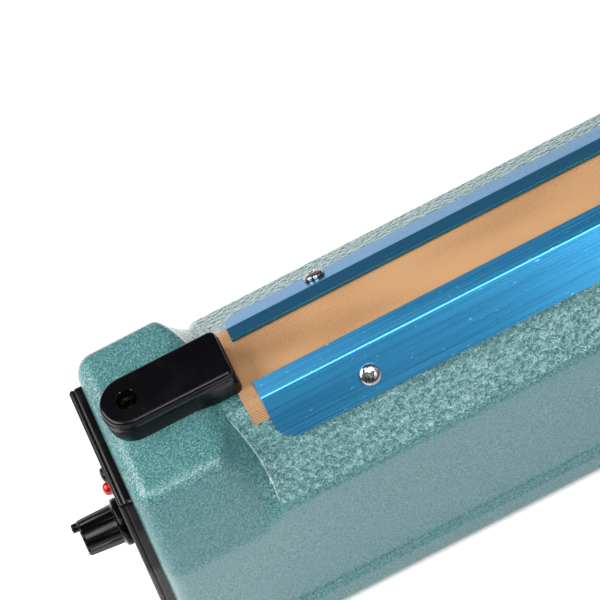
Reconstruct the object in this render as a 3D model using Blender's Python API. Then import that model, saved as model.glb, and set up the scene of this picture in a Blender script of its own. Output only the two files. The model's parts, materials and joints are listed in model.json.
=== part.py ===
"""Hand impulse heat sealer with a 300 mm jaw: Blender 4.5, metres, +Z up.

The control panel is at the -X end and the arm's hinge at the +X end. The origin is at the middle of the
footprint, on the surface that the feet stand on. Measures below are in millimetres; put() makes metres.
The arm is drawn shut, about the hinge pin, and then opened to its rest angle by its parent empty.
"""

import math

import bmesh
import bpy
from mathutils import Matrix, Vector

# Driving dimensions, in millimetres and degrees
MM = 0.001
LENGTH = 437.0  # between the outer faces of the two end panels, at the height of the deck
FOOT = 4.0  # height of the rubber feet: everything of the casting is drawn from its own bottom rim
HALF_BASE = 46.0
RIM_TOP = 8.5
FLARE_Z = 13.0
HALF_WAIST = 44.4
MID_Y, MID_Z = 29.2, 80.37  # the sloped deck is slightly crowned here
EDGE_Y, EDGE_Z = 43.4, 69.3  # where it meets the side
RIDGE_Y, RIDGE_Z = 14.6, 94.3
DECK_SLOPE = (RIDGE_Z - MID_Z) / (MID_Y - RIDGE_Y)
HUMP_Y, HUMP_Z = 32.0, 97.9
HUMP_SIDE_Z = 62.0
HUMP_END = 36.0  # the hump's flat top ends here, measured from the panel's face
HUMP_FOOT = 48.0
END_FILLET = 7.0
PANEL_INSET = 6.3
PANEL_TAPER = 0.045
RAKE = math.tan(math.radians(5.5))  # the ends lean out towards the bottom
RAKE_Z = 93.6
PANEL_THICK = 4.5
WALL = 3.2
GAP = 0.3

STRIP_START = 58.5
STRIP_LENGTH = LENGTH - 2 * STRIP_START
STRIP_THICK = 1.2
STRIP_INNER = (9.8, 97.4)
STRIP_RIDGE = (15.8, 95.6)
STRIP_OUTER = (28.2, 83.8)
STRIP_CORNER = 7.5
STRIP_SCREWS = (95.0, LENGTH / 2, LENGTH - 95.0)
FAR_SCREWS_BACK = 1.6  # the far strip's screws sit this much nearer the panel
STRIP_SCREW_DOWN = 9.6

BAR_HALF, BAR_TOP, BAR_BOTTOM = 9.0, 94.9, 88.0
CLOTH_START = 52.6
CLOTH_THICK = 0.25
CLOTH_EDGE_Y = 20.2

BLOCK_START, BLOCK_END, BLOCK_HALF, BLOCK_TOP = 8.2, 55.0, 10.1, 108.9
BLOCK_HOLE, BLOCK_HOLE_X = 3.55, 18.5
REAR_BLOCK_START, REAR_BLOCK_END = LENGTH - 55.0, LENGTH - 40.5
REAR_SCREW_X = LENGTH - 45.9

KNOB_Z, LED_Z = 40.9, 64.4
PANEL_SCREWS = (73.4, 14.5)
SINK = 1.6  # how deep the lower panel screws are set
POINTER = math.radians(52)  # the knob points this far round from the top at rest
KNOB_SKIRT, KNOB_BASE, KNOB_TIP, KNOB_HEIGHT = 8.9, 7.3, 6.65, 16.3
GLAND_Z, GLAND_HEIGHT = 30.0, 17.38

HINGE_X, HINGE_Z = LENGTH - 21.0, 113.0
PIN_RADIUS = 3.0
OPEN_DEG = 40.0
EAR_INNER, EAR_OUTER = 13.5, 15.5
PAD_BOTTOM = 96.3
ARM_START, ARM_END = 58.5, LENGTH - 57.5
ARM_HALF, ARM_BOTTOM, ARM_TOP = 12.0, 99.2, 118.0
KNUCKLE_HALF, KNUCKLE_RADIUS = 9.3, 8.0
SWITCH_X = LENGTH - 34.8
PLUNGER_TOP = 99.7

BASE_SCREWS = [(x, y) for x in (26.0, LENGTH - 26.0) for y in (-37.0, 37.0)]
BRACKET_SCREWS = [(LENGTH - 27.5, -8.0), (LENGTH - 27.5, 8.0)]
FEET = [(x, y) for x in (34.0, LENGTH - 34.0) for y in (-26.0, 26.0)]
BOLT_X = ARM_END - 15.0  # where the arm is bolted to its knuckle
HANDLE_SCREWS = (78.0, 112.0)
TRANSFORMER_X = 300.0

PINS = 24  # sides of small round pieces


# ---------------------------------------------------------------- scene and materials
for old in list(bpy.data.objects):
    bpy.data.objects.remove(old)


def material(name, rgb, roughness, metallic=0.0, coat=0.0):
    """A Principled material."""
    made = bpy.data.materials.new(name)
    made.use_nodes = True
    shader = made.node_tree.nodes["Principled BSDF"]
    shader.inputs["Base Color"].default_value = (*rgb, 1.0)
    shader.inputs["Roughness"].default_value = roughness
    shader.inputs["Metallic"].default_value = metallic
    shader.inputs["Coat Weight"].default_value = coat
    made.diffuse_color = (*rgb, 1.0)
    return made


HAMMERTONE = material("hammertone_teal", (0.13, 0.33, 0.33), 0.35, 0.2, 0.4)
BLUE = material("blue_anodised", (0.02, 0.25, 0.50), 0.3, 0.9)
BLACK = material("black_plastic", (0.008, 0.009, 0.011), 0.25)
CLOTH = material("ptfe_cloth", (0.50, 0.29, 0.14), 0.6)
STEEL = material("bright_steel", (0.62, 0.62, 0.63), 0.25, 1.0)
BRASS = material("brass", (0.72, 0.52, 0.18), 0.3, 1.0)
RUBBER = material("black_rubber", (0.02, 0.02, 0.02), 0.8)
SILICONE = material("silicone", (0.62, 0.20, 0.12), 0.6)
RED = material("red_lens", (0.70, 0.01, 0.02), 0.1, 0.0, 1.0)
BAR = material("bar_aluminium", (0.70, 0.70, 0.71), 0.4, 1.0)
GLASS_CLOTH = material("glass_cloth", (0.72, 0.66, 0.50), 0.8)
COPPER = material("lacquered_copper", (0.55, 0.19, 0.06), 0.35, 0.9)
BOARD = material("circuit_board", (0.02, 0.20, 0.07), 0.5)


# ---------------------------------------------------------------- shapes
def put(x, y, z):
    """A point of the casting's own measures, as metres in the part's frame."""
    return Vector(((x - LENGTH / 2) * MM, y * MM, (z + FOOT) * MM))


def mesh_object(name, bm, mat, parent=None):
    """Makes an object of a bmesh, with its faces turned out and its round sides smooth."""
    bmesh.ops.recalc_face_normals(bm, faces=bm.faces)
    if bm.calc_volume(signed=True) < 0:
        bmesh.ops.reverse_faces(bm, faces=bm.faces)
    mesh = bpy.data.meshes.new(name)
    bm.to_mesh(mesh)
    bm.free()
    mesh.shade_smooth()
    mesh.set_sharp_from_angle(angle=math.radians(35))
    made = bpy.data.objects.new(name, mesh)
    bpy.context.scene.collection.objects.link(made)
    if mat:
        mesh.materials.append(mat)
    if parent:
        made.parent = parent
        made.matrix_parent_inverse = Matrix.Translation(-parent.location)
    return made


def loft(name, rings, mat, parent=None):
    """Joins rings of points, all with the same count, into one closed body."""
    bm = bmesh.new()
    made = [[bm.verts.new(p) for p in ring] for ring in rings]
    for a, b in zip(made, made[1:]):
        for i in range(len(a)):
            j = (i + 1) % len(a)
            bm.faces.new((a[i], a[j], b[j], b[i]))
    bm.faces.new(made[0])
    bm.faces.new(made[-1])
    return mesh_object(name, bm, mat, parent)


def extrude_x(name, outline, x0, x1, mat, parent=None):
    """A section of (y, z) points drawn out along the length."""
    rings = [[put(x, y, z) for y, z in outline] for x in (x0, x1)]
    return loft(name, rings, mat, parent)


def extrude_z(name, outline, z0, z1, mat, parent=None):
    """A plan of (x, y) points drawn upwards."""
    rings = [[put(x, y, z) for x, y in outline] for z in (z0, z1)]
    return loft(name, rings, mat, parent)


def extrude_y(name, outline, y0, y1, mat, parent=None):
    """A side view of (x, z) points drawn across."""
    rings = [[put(x, y, z) for x, z in outline] for y in (y0, y1)]
    return loft(name, rings, mat, parent)


def block(name, low, high, mat, parent=None, bevel=0.0):
    """A rectangular piece between two corners, with its edges rounded."""
    rectangle = ((low[0], low[1]), (high[0], low[1]), (high[0], high[1]), (low[0], high[1]))
    made = extrude_z(name, rectangle, low[2], high[2], mat, parent)
    if bevel:
        rounding = made.modifiers.new("rounding", "BEVEL")
        rounding.width = bevel * MM
        rounding.segments = 2
    return made


def turned(name, at, direction, profile, mat, parent=None, sides=PINS):
    """A turned piece: profile holds (height along the axis, radius), and both ends close flat."""
    turn = Vector(direction).to_track_quat("Z", "Y")
    rings = []
    for height, radius in profile:
        ring = []
        for i in range(sides):
            angle = math.tau * (i + 0.5) / sides
            local = Vector((radius * math.cos(angle), radius * math.sin(angle), height)) * MM
            ring.append(put(*at) + turn @ local)
        rings.append(ring)
    return loft(name, rings, mat, parent)


def cut(target, cutter, operation="DIFFERENCE"):
    """A Boolean whose other piece is left out of the part."""
    cutter.hide_render = True
    cutter.display_type = "WIRE"
    step = target.modifiers.new(cutter.name, "BOOLEAN")
    step.operation = operation
    step.object = cutter


def rounded(corners, segments=5):
    """A polyline whose inner corners (y, z, radius) are arcs; the first and last points stay as they are."""
    points = [corners[0][:2]]
    for (ay, az, _), (by, bz, radius), (cy, cz, _) in zip(corners, corners[1:], corners[2:]):
        corner = Vector((by, bz))
        before = (Vector((ay, az)) - corner).normalized()
        after = (Vector((cy, cz)) - corner).normalized()
        half = before.angle(after) / 2
        back = radius / math.tan(half)
        centre = corner + (before + after).normalized() * radius / math.sin(half)
        start = corner + before * back - centre
        end = corner + after * back - centre
        for i in range(segments + 1):
            points.append(tuple(centre + start.slerp(end, i / segments).normalized() * radius))
    points.append(corners[-1][:2])
    return points


def rounded_plan(half_x, half_y, radius, segments=4):
    """A rectangle with round corners, about its own middle."""
    outline = []
    for sx, sy, first in ((1, 1, 0), (-1, 1, 90), (-1, -1, 180), (1, -1, 270)):
        for i in range(segments + 1):
            angle = math.radians(first + 90 * i / segments)
            outline.append(
                (
                    sx * (half_x - radius) + radius * math.cos(angle),
                    sy * (half_y - radius) + radius * math.sin(angle),
                )
            )
    return outline


def shrunk(outline, depth):
    """A closed anticlockwise or clockwise outline drawn in by depth along its points' normals."""
    count = len(outline)
    area = sum(
        outline[i][0] * outline[(i + 1) % count][1] - outline[(i + 1) % count][0] * outline[i][1]
        for i in range(count)
    )
    turn = 1 if area > 0 else -1
    drawn = []
    for i, point in enumerate(outline):
        before = (Vector(point) - Vector(outline[i - 1])).normalized()
        after = (Vector(outline[(i + 1) % count]) - Vector(point)).normalized()
        along = (before + after).normalized()
        reach = depth / max(along.dot(after), 0.5)
        drawn.append((point[0] - along.y * reach * turn, point[1] + along.x * reach * turn))
    return drawn


def mirrored(half):
    """The whole outline of a half section that starts on the middle line, with both lower ends."""
    return [(-y, z) for y, z in reversed(half[1:])] + list(half)


# ---------------------------------------------------------------- the casting
def deck_half():
    """The sloped deck's section: flat ridge, slope, side, flared rim."""
    return rounded(
        (
            (0, RIDGE_Z, 0),
            (RIDGE_Y, RIDGE_Z, 2.0),
            (MID_Y, MID_Z, 45.0),
            (EDGE_Y, EDGE_Z, 4.0),
            (HALF_WAIST, FLARE_Z, 6.0),
            (HALF_BASE, RIM_TOP, 1.2),
            (HALF_BASE, 0, 0),
        )
    )


def hump_half(inwards=0.0):
    """The end hump's section, drawn in by inwards on its top and side, with the deck's count of points."""
    return rounded(
        (
            (0, HUMP_Z - inwards, 0),
            (HUMP_Y - inwards * 0.85, HUMP_Z - inwards, 6.0 - inwards * 0.6),
            (38.2 - inwards * 0.8, 81.5 - inwards * 0.5, 30.0),
            (EDGE_Y - inwards, HUMP_SIDE_Z, 18.0),
            (HALF_WAIST - inwards, FLARE_Z, 6.0),
            (HALF_BASE - inwards, RIM_TOP, 1.2),
            (HALF_BASE - inwards, 0, 0),
        )
    )


def lean(x, z):
    """Moves an end point outwards with depth, fading out over the hump."""
    share = (HUMP_FOOT - min(x, LENGTH - x)) / (HUMP_FOOT - PANEL_THICK - GAP)
    share = min(max(share, 0.0), 1.0)
    outwards = -1 if x < LENGTH / 2 else 1
    return x + outwards * (RAKE_Z - z) * RAKE * share


def section_at(x):
    """The casting's half section at a distance x from the panel's face."""
    from_end = min(x, LENGTH - x) - PANEL_THICK - GAP
    hump, deck = hump_half(), deck_half()
    if from_end < END_FILLET:
        return hump_half(END_FILLET - math.sqrt(END_FILLET**2 - (END_FILLET - from_end) ** 2))
    reach = min(x, LENGTH - x)
    share = min(max((reach - HUMP_END) / (HUMP_FOOT - HUMP_END), 0.0), 1.0)
    weight = math.cos(share * math.pi / 2) ** 1.4
    return [
        (dy + (hy - dy) * weight, dz + (hz - dz) * weight) for (dy, dz), (hy, hz) in zip(deck, hump)
    ]


def make_housing():
    first = PANEL_THICK + GAP
    ends = [first + END_FILLET * (1 - math.cos(math.radians(a))) for a in (0, 30, 60, 90)]
    slope = [HUMP_END + (HUMP_FOOT - HUMP_END) * i / 5 for i in range(6)]
    front = ends + [24.0] + slope + [100.0]
    stations = front + [LENGTH - x for x in reversed(front)]
    rings = []
    for x in stations:
        outline = mirrored(section_at(x))
        rings.append([put(lean(x, z), y, z) for y, z in outline])
    housing = loft("housing", rings, HAMMERTONE)

    wall_x = first + WALL
    skirt = ((41, 11), (HALF_BASE - WALL, 8), (HALF_BASE - WALL, -3))
    under_hump = mirrored(((0, HUMP_Z - WALL), (19.5, HUMP_Z - WALL), (38.3, 64), *skirt))
    under_deck = mirrored(((0, 84.5), (20, 84.5), (39.4, 66), *skirt))
    half = ((wall_x, under_hump), (HUMP_END + 2, under_hump), (HUMP_FOOT - 1, under_deck))
    hollow = list(half) + [(LENGTH - x, outline) for x, outline in reversed(half)]
    rings = [[put(lean(x, z), y, z) for y, z in outline] for x, outline in hollow]
    cut(housing, loft("cavity", rings, None))
    for name, middle in (("front", 0), ("rear", LENGTH)):
        cut(housing, block(f"window_{name}", (middle - 20, -18, 20.5), (middle + 20, 18, 69), None))
    channel = block("channel", (CLOTH_START - 3.7, -9.4, 87.6), (LENGTH - CLOTH_START, 9.4, 100), None)
    cut(housing, channel)
    for end in (-1, 1):
        for i, z in enumerate(PANEL_SCREWS):
            drill(housing, f"end_hole_{end + 1}_{i}", panel_point(end, z), panel_out(end), 1.7, 1, start=-16)
    for name, x in (("front", BLOCK_HOLE_X), ("rear", REAR_SCREW_X)):
        drill(housing, f"terminal_hole_{name}", (x, 0, 70), (0, 0, 1), 2.4, 40)
    drill(housing, "plunger_hole", (SWITCH_X, 0, 88), (0, 0, 1), 2.4, 20)
    for i, (at, out) in enumerate(strip_screw_places()):
        drill(housing, f"strip_screw_hole_{i}", at, out, 2.2, 30, start=-12)
    for i, (x, y) in enumerate(BRACKET_SCREWS):
        drill(housing, f"bracket_screw_hole_{i}", (x, y, 90), (0, 0, 1), 1.8, 20)
    for i, (x, y) in enumerate(BASE_SCREWS):
        boss = turned(f"boss_{i}", (x, y, 0), (0, 0, 1), ((2.9, 4.6), (66, 4.6)), None, sides=12)
        cut(housing, boss, "UNION")
        drill(housing, f"boss_hole_{i}", (x, y, 0), (0, 0, 1), 1.8, 20)
    return housing


def drill(target, name, at, direction, radius, depth, start=0.0):
    """A round hole from a point along a direction."""
    profile = ((start, radius), (depth, radius))
    cut(target, turned(name, at, direction, profile, None, target.parent, sides=16))


def strip_screw_places():
    """Where each clamp screw's seat is on the sloped flanges, and the direction it points out."""
    slope = math.atan2(STRIP_RIDGE[1] - STRIP_OUTER[1], STRIP_OUTER[0] - STRIP_RIDGE[0])
    y = STRIP_RIDGE[0] + STRIP_SCREW_DOWN * math.cos(slope)
    z = STRIP_RIDGE[1] - STRIP_SCREW_DOWN * math.sin(slope)
    out = (0, math.sin(slope), math.cos(slope))
    places = []
    for side, back in ((-1, 0), (1, FAR_SCREWS_BACK)):
        for x in STRIP_SCREWS:
            places.append(((x - back, side * y, z), (0, side * out[1], out[2])))
    return places


# ---------------------------------------------------------------- ends and controls
def panel_out(end):
    """The direction that an end panel faces: -1 for the front, 1 for the rear."""
    return Vector((end, 0, RAKE)).normalized()


def panel_point(end, z, out=0.0):
    """A point on the middle line of an end panel's outer face, moved out of it."""
    x = LENGTH / 2 + end * (LENGTH / 2 + (RAKE_Z - z) * RAKE)
    return Vector((x, 0, z)) + panel_out(end) * out


def taper(z):
    """A panel is a little narrower at its top than the casting behind it."""
    return 1 - PANEL_TAPER * (z - FLARE_Z) / (HUMP_Z - FLARE_Z)


def make_panel(name, end):
    """A flat cover that follows the casting's end outline."""
    sides = [(y * taper(z), z) for y, z in hump_half(PANEL_INSET) if z > FLARE_Z + 3]
    outline = mirrored(sides + [(HALF_WAIST - PANEL_INSET, 7.0)])
    rings = []
    for depth, margin in ((PANEL_THICK, 0.0), (0.8, 0.0), (0.0, 0.8)):
        ring = []
        for y, z in outline:
            drawn_in = Vector((y, z)) - Vector((y, z - 50)).normalized() * margin
            ring.append(put(*(panel_point(end, drawn_in.y, -depth) + Vector((0, drawn_in.x, 0)))))
        rings.append(ring)
    return loft(name, rings, BLACK)


def pan_head_screw(name, at, direction, head, length, radius=1.5, mat=STEEL, parent=None, lift=GAP):
    """A pan head screw whose head sits lift above the surface that at is on."""
    tall = head * 0.55
    profile = (
        (-length, radius * 0.7),
        (-length + 1, radius),
        (lift, radius),
        (lift, head),
        (lift + tall * 0.45, head),
        (lift + tall * 0.85, head * 0.72),
        (lift + tall, head * 0.35),
    )
    return turned(name, at, direction, profile, mat, parent, sides=16)


def make_control_end():
    panel = make_panel("control_panel", -1)
    out = panel_out(-1)
    drill(panel, "knob_hole", panel_point(-1, KNOB_Z), out, 4.0, 10, start=-10)
    drill(panel, "led_hole", panel_point(-1, LED_Z), out, 2.9, 10, start=-10)
    for i, z in enumerate(PANEL_SCREWS):
        at = panel_point(-1, z) - out * SINK * i
        drill(panel, f"panel_screw_hole_{i}", at, out, 1.9, 10, start=-10)
        if i:
            drill(panel, f"panel_screw_sink_{i}", at, out, 3.0, 10, start=0)
        pan_head_screw(f"panel_screw_{i + 1}", at, out, 2.6, 7, 1.5, BLACK, None, 0.05)
    led = ((-9, 2.4), (0.6, 2.5), (1.6, 2.35), (2.4, 1.75), (2.9, 0.8))
    turned("led", panel_point(-1, LED_Z), out, led, RED)
    back = panel_point(-1, KNOB_Z, -PANEL_THICK)
    body = ((-11.5, 8.2), (-GAP, 8.2), (-GAP, 3.6), (PANEL_THICK - 0.6, 3.6))
    pot = turned("potentiometer", back, out, body, STEEL)
    drill(pot, "pot_bore", back, out, 3.15, 12, start=-8)

    axis = bpy.data.objects.new("knob_axis", None)
    bpy.context.scene.collection.objects.link(axis)
    axis.location = put(*panel_point(-1, KNOB_Z))
    knob_profile = (
        (GAP, KNOB_SKIRT),
        (2.4, KNOB_SKIRT),
        (2.7, KNOB_SKIRT - 0.4),
        (2.9, KNOB_BASE),
        (KNOB_HEIGHT - 0.6, KNOB_TIP),
        (KNOB_HEIGHT, KNOB_TIP - 0.6),
    )
    knob = turned("timer_knob", panel_point(-1, KNOB_Z), out, knob_profile, BLACK, axis, sides=32)
    turn = out.to_track_quat("Z", "Y")
    for i in range(12):
        angle = math.tau * (i + 0.5) / 12
        side = turn @ Vector((math.cos(angle), math.sin(angle), 0)) * (KNOB_TIP + 0.75)
        start = panel_point(-1, KNOB_Z) + side
        cut(knob, turned(f"flute_{i}", start, out, ((3.6, 0.8), (20, 0.8)), None, sides=8))
    drill(knob, "knob_bore", panel_point(-1, KNOB_Z), out, 3.3, 12, start=-2)
    up = out.cross(Vector((0, 1, 0))).normalized()
    up = up if up.z > 0 else -up
    pointer = (up * math.cos(POINTER) + Vector((0, 1, 0)) * math.sin(POINTER)) * (KNOB_TIP - 2.05)
    nub = ((KNOB_HEIGHT - 2, 1.75), (KNOB_HEIGHT + 1.9, 1.7), (KNOB_HEIGHT + 2.3, 1.3))
    cut(knob, turned("nub", panel_point(-1, KNOB_Z) + pointer, out, nub, None, sides=12), "UNION")
    turned("timer_shaft", panel_point(-1, KNOB_Z), out, ((-11.5, 3.0), (11.4, 3.0)), STEEL, axis, sides=16)


def make_rear_end():
    panel = make_panel("rear_panel", 1)
    out = panel_out(1)
    at = panel_point(1, GLAND_Z)
    drill(panel, "gland_hole", at, out, 6.4, 10, start=-10)
    profile = (
        (-9.0, 8.0),
        (-PANEL_THICK - GAP, 8.0),
        (-PANEL_THICK - GAP, 6.0),
        (GAP, 6.0),
        (GAP, 9.5),
        (5.5, 9.5),
        (6.0, 8.2),
        (GLAND_HEIGHT - 5, 8.2),
        (GLAND_HEIGHT - 1, 6.4),
        (GLAND_HEIGHT, 5.6),
    )
    gland = turned("cable_gland", at, out, profile, BLACK)
    drill(gland, "gland_bore", at, out, 4.3, 30, start=-20)
    for i, z in enumerate(PANEL_SCREWS):
        at = panel_point(1, z) - out * SINK * i
        drill(panel, f"rear_screw_hole_{i}", at, out, 1.9, 10, start=-10)
        if i:
            drill(panel, f"rear_screw_sink_{i}", at, out, 3.0, 10, start=0)
        pan_head_screw(f"rear_screw_{i + 1}", at, out, 2.6, 7, 1.5, STEEL, None, 0.05)


# ---------------------------------------------------------------- jaw
def ribbon(line, thick):
    """The outline of a bent strip about its (y, z) middle line."""
    sides = ([], [])
    for i, point in enumerate(line):
        here = Vector(point)
        before = (here - Vector(line[i - 1])).normalized() if i else None
        after = (Vector(line[i + 1]) - here).normalized() if i + 1 < len(line) else None
        before, after = before or after, after or before
        along = (before + after).normalized()
        normal = Vector((-along.y, along.x))
        reach = thick / 2 / max(along.dot(after), 0.3)
        sides[0].append(tuple(here + normal * reach))
        sides[1].append(tuple(here - normal * reach))
    return sides[0] + sides[1][::-1]


def make_clamp_strip(name, side):
    """A bent angle that clamps the cloth: narrow inner flange, wide sloped flange with round corners."""
    down = Vector(STRIP_OUTER) - Vector(STRIP_RIDGE)
    inwards = Vector((-down.y, down.x)).normalized() * -STRIP_THICK / 2
    rings = []
    for end, steps in ((0, range(5)), (1, range(4, -1, -1))):
        for i in steps:
            dx = STRIP_CORNER * (1 - math.cos(math.radians(90 * i / 4)))
            short = STRIP_CORNER - math.sqrt(STRIP_CORNER**2 - (STRIP_CORNER - dx) ** 2)
            x = STRIP_START + dx if end == 0 else STRIP_START + STRIP_LENGTH - dx
            edge = Vector(STRIP_OUTER) - down.normalized() * short
            line = [Vector(STRIP_INNER) + inwards, Vector(STRIP_RIDGE) + inwards * 1.06, edge + inwards]
            rings.append([put(x, side * y, z) for y, z in ribbon([tuple(p) for p in line], STRIP_THICK)])
    return loft(name, rings, BLUE)


def make_jaw():
    x0, x1 = CLOTH_START - 3.2, LENGTH - CLOTH_START - 0.5
    block("sealing_bar", (x0, -BAR_HALF, BAR_BOTTOM), (x1, BAR_HALF, BAR_TOP), BAR)
    block("insulating_strip", (x0, -7, BAR_TOP + 0.12), (x1, 7, BAR_TOP + 0.32), GLASS_CLOTH)
    block("heating_element", (x0, -2.5, BAR_TOP + 0.44), (x1, 2.5, BAR_TOP + 0.6), STEEL)
    half = [(0, 95.8), (9.4, 95.8), (14.7, 94.58)]
    half.append((CLOTH_EDGE_Y, RIDGE_Z + 0.4 - DECK_SLOPE * (CLOTH_EDGE_Y - RIDGE_Y)))
    line = mirrored(half)
    extrude_x("ptfe_cloth", ribbon(line, CLOTH_THICK), CLOTH_START, LENGTH - CLOTH_START, CLOTH)
    near = make_clamp_strip("clamp_strip_near", -1)
    far = make_clamp_strip("clamp_strip_far", 1)
    for i, (at, out) in enumerate(strip_screw_places()):
        drill(near if i < 3 else far, f"strip_hole_{i}", at, out, 2.2, 10, start=-10)
        pan_head_screw(f"strip_screw_{i + 1}", at, out, 3.8, 8, 1.8, STEEL, None, 0.15)


def make_terminal_cover(name, x0, x1, screw_x, front):
    """A moulded cover over the end of the heating wire, with a deep counterbored screw."""
    if front:
        outline = [(x1, -BLOCK_HALF), (x1, BLOCK_HALF)]
        for i in range(9):
            angle = math.radians(90 + 180 * i / 8)
            x = x0 + BLOCK_HALF + BLOCK_HALF * math.cos(angle)
            outline.append((x, BLOCK_HALF * math.sin(angle)))
    else:
        outline = [(x0, -BLOCK_HALF), (x1, -BLOCK_HALF), (x1, BLOCK_HALF), (x0, BLOCK_HALF)]
    cover = extrude_z(name, outline, 96.3, BLOCK_TOP, BLACK)
    rounding = cover.modifiers.new("rounding", "BEVEL")
    rounding.width = 1.0 * MM
    rounding.segments = 2
    rounding.limit_method = "ANGLE"
    if front:
        hump = ((0, 90), (0, HUMP_Z + GAP), (38, HUMP_Z + GAP), (46.5, 96.0), (46.5, 90))
        pocket = (x1 - 11, x1 - 2.5)
    else:
        hump = ((500, 90), (500, HUMP_Z + GAP), (x0 + 6.5, HUMP_Z + GAP), (x0 + 6.5, 90))
        pocket = (x0 + 1.2, x0 + 6.0)
    cut(cover, extrude_y(f"{name}_foot", hump, -20, 20, None))
    cut(cover, block(f"{name}_pocket", (pocket[0], -5.5, 90), (pocket[1], 5.5, 101), None))
    drill(cover, f"{name}_counterbore", (screw_x, 0, 100), (0, 0, 1), BLOCK_HOLE, 20)
    drill(cover, f"{name}_bore", (screw_x, 0, 90), (0, 0, 1), 2.0, 20)
    pan_head_screw(f"{name}_screw", (screw_x, 0, 100), (0, 0, 1), 2.9, 12, 1.6, BRASS)
    plug = name.replace("cover", "plate")
    block(plug, (pocket[0] + 0.5, -4.5, 96.1), (pocket[1] - 0.5, 4.5, 99.5), BRASS)


# ---------------------------------------------------------------- inside

def make_base():
    plan = [(x + LENGTH / 2, y) for x, y in rounded_plan(LENGTH / 2 - 2, 42.2, 4)]
    plate = extrude_z("base_plate", plan, 1.4, 2.6, STEEL)
    for i, (x, y) in enumerate(BASE_SCREWS):
        drill(plate, f"plate_hole_{i}", (x, y, 0), (0, 0, 1), 1.9, 5)
        pan_head_screw(f"base_screw_{i + 1}", (x, y, 1.4), (0, 0, -1), 2.8, 9, 1.4, STEEL, None, 0.1)
    for i in range(7):
        x = 190 + 9 * i
        cut(plate, block(f"vent_{i}", (x, -18, 0), (x + 4.5, 18, 5), None))
    foot = ((-FOOT, 6.2), (-FOOT + 0.8, 6.8), (0.0, 7.5), (1.1, 7.5))
    for i, (x, y) in enumerate(FEET):
        turned(f"rubber_foot_{i + 1}", (x, y, 0), (0, 0, 1), foot, RUBBER, sides=20)


def make_electrics():
    middle = TRANSFORMER_X
    core = block("transformer_core", (middle - 31, -18, 4.4), (middle + 31, 18, 56.4), STEEL)
    for side in (-1, 1):
        x0, x1 = sorted((middle + side * 10.5, middle + side * 20.5))
        cut(core, block(f"core_window_{side + 1}", (x0, -30, 12.4), (x1, 30, 48.4), None))
    coil = block("transformer_coil", (middle - 20.2, -30, 12.8), (middle + 20.2, 30, 48.0), COPPER)
    cut(coil, block("coil_core", (middle - 10.9, -18.4, 0), (middle + 10.9, 18.4, 70), None))
    strap = [(-36, 2.9), (-36, 4.1), (-33, 4.1)]
    strap += [(-33, 57.9), (33, 57.9), (33, 4.1), (36, 4.1), (36, 2.9), (31.8, 2.9)]
    strap += [(31.8, 56.7), (-31.8, 56.7), (-31.8, 2.9)]
    extrude_x("transformer_strap", strap, middle - 9, middle + 9, STEEL)
    block("timer_board", (17.0, -22, 24), (18.6, 22, 78), BOARD)
    block("timer_relay", (18.9, -8, 50), (34.0, 11, 70), BLACK, bevel=0.6)


def make_switch():
    x0 = SWITCH_X - 2.9
    body = block("microswitch", (x0, -3.2, 83.6), (x0 + 19.8, 3.2, 93.8), BLACK)
    drill(body, "switch_well", (SWITCH_X, 0, 90), (0, 0, 1), 1.9, 10)
    plunger = ((91.6, 1.6), (PLUNGER_TOP - 0.7, 1.6), (PLUNGER_TOP, 0.9))
    turned("switch_plunger", (SWITCH_X, 0, 0), (0, 0, 1), plunger, RED, sides=16)


# ---------------------------------------------------------------- hinge and arm
def make_hinge():
    section = [(-EAR_OUTER, 98.2), (EAR_OUTER, 98.2), (EAR_OUTER, 121), (EAR_INNER, 121)]
    section += [(EAR_INNER, 100.2), (-EAR_INNER, 100.2), (-EAR_INNER, 121), (-EAR_OUTER, 121)]
    bracket = extrude_x("hinge_bracket", section, HINGE_X - 9.5, HINGE_X + 8.5, STEEL)
    drill(bracket, "ear_holes", (HINGE_X, -20, HINGE_Z), (0, 1, 0), PIN_RADIUS + 0.1, 40)
    for i, (x, y) in enumerate(BRACKET_SCREWS):
        drill(bracket, f"bracket_hole_{i}", (x, y, 97), (0, 0, 1), 1.8, 6)
        pan_head_screw(f"bracket_screw_{i + 1}", (x, y, 100.2), (0, 0, 1), 2.8, 9, 1.5, STEEL, None, 0.1)
    reach = EAR_OUTER + 1.8
    pin = ((0, 2.6), (0.4, PIN_RADIUS), (2 * reach - 0.4, PIN_RADIUS), (2 * reach, 2.6))
    turned("hinge_pin", (HINGE_X, -reach, HINGE_Z), (0, 1, 0), pin, STEEL, sides=24)


def make_return_spring(name, side):
    """A torsion spring round the pin: one leg down on the bracket, one leg in the arm's knuckle."""
    wire, coil_radius, turns = 0.45, 4.7, 3.0
    start = math.radians(180 + 30)
    finish = math.radians(180 - OPEN_DEG)
    sweep = math.tau * turns + finish - start
    steps = 34
    points = [(HINGE_X - 9.0, side * 12.9, 100.9)]
    for i in range(steps + 1):
        angle = start + sweep * i / steps
        y = 12.9 - 2.7 * i / steps
        x = HINGE_X + coil_radius * math.cos(angle)
        points.append((x, side * y, HINGE_Z + coil_radius * math.sin(angle)))
    lean_back = math.radians(OPEN_DEG)
    for distance, y in ((8.0, 10.2), (11.4, 10.2), (12.0, 9.6), (12.0, 6.8)):
        x = HINGE_X - distance * math.cos(lean_back)
        points.append((x, side * y, HINGE_Z + distance * math.sin(lean_back)))
    curve = bpy.data.curves.new(name, "CURVE")
    curve.dimensions = "3D"
    curve.bevel_depth = wire * MM
    curve.bevel_resolution = 1
    curve.use_fill_caps = True
    spline = curve.splines.new("POLY")
    spline.points.add(len(points) - 1)
    for spot, point in zip(spline.points, points):
        spot.co = (*put(*point), 1.0)
    made = bpy.data.objects.new(name, curve)
    curve.materials.append(STEEL)
    bpy.context.scene.collection.objects.link(made)


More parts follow.
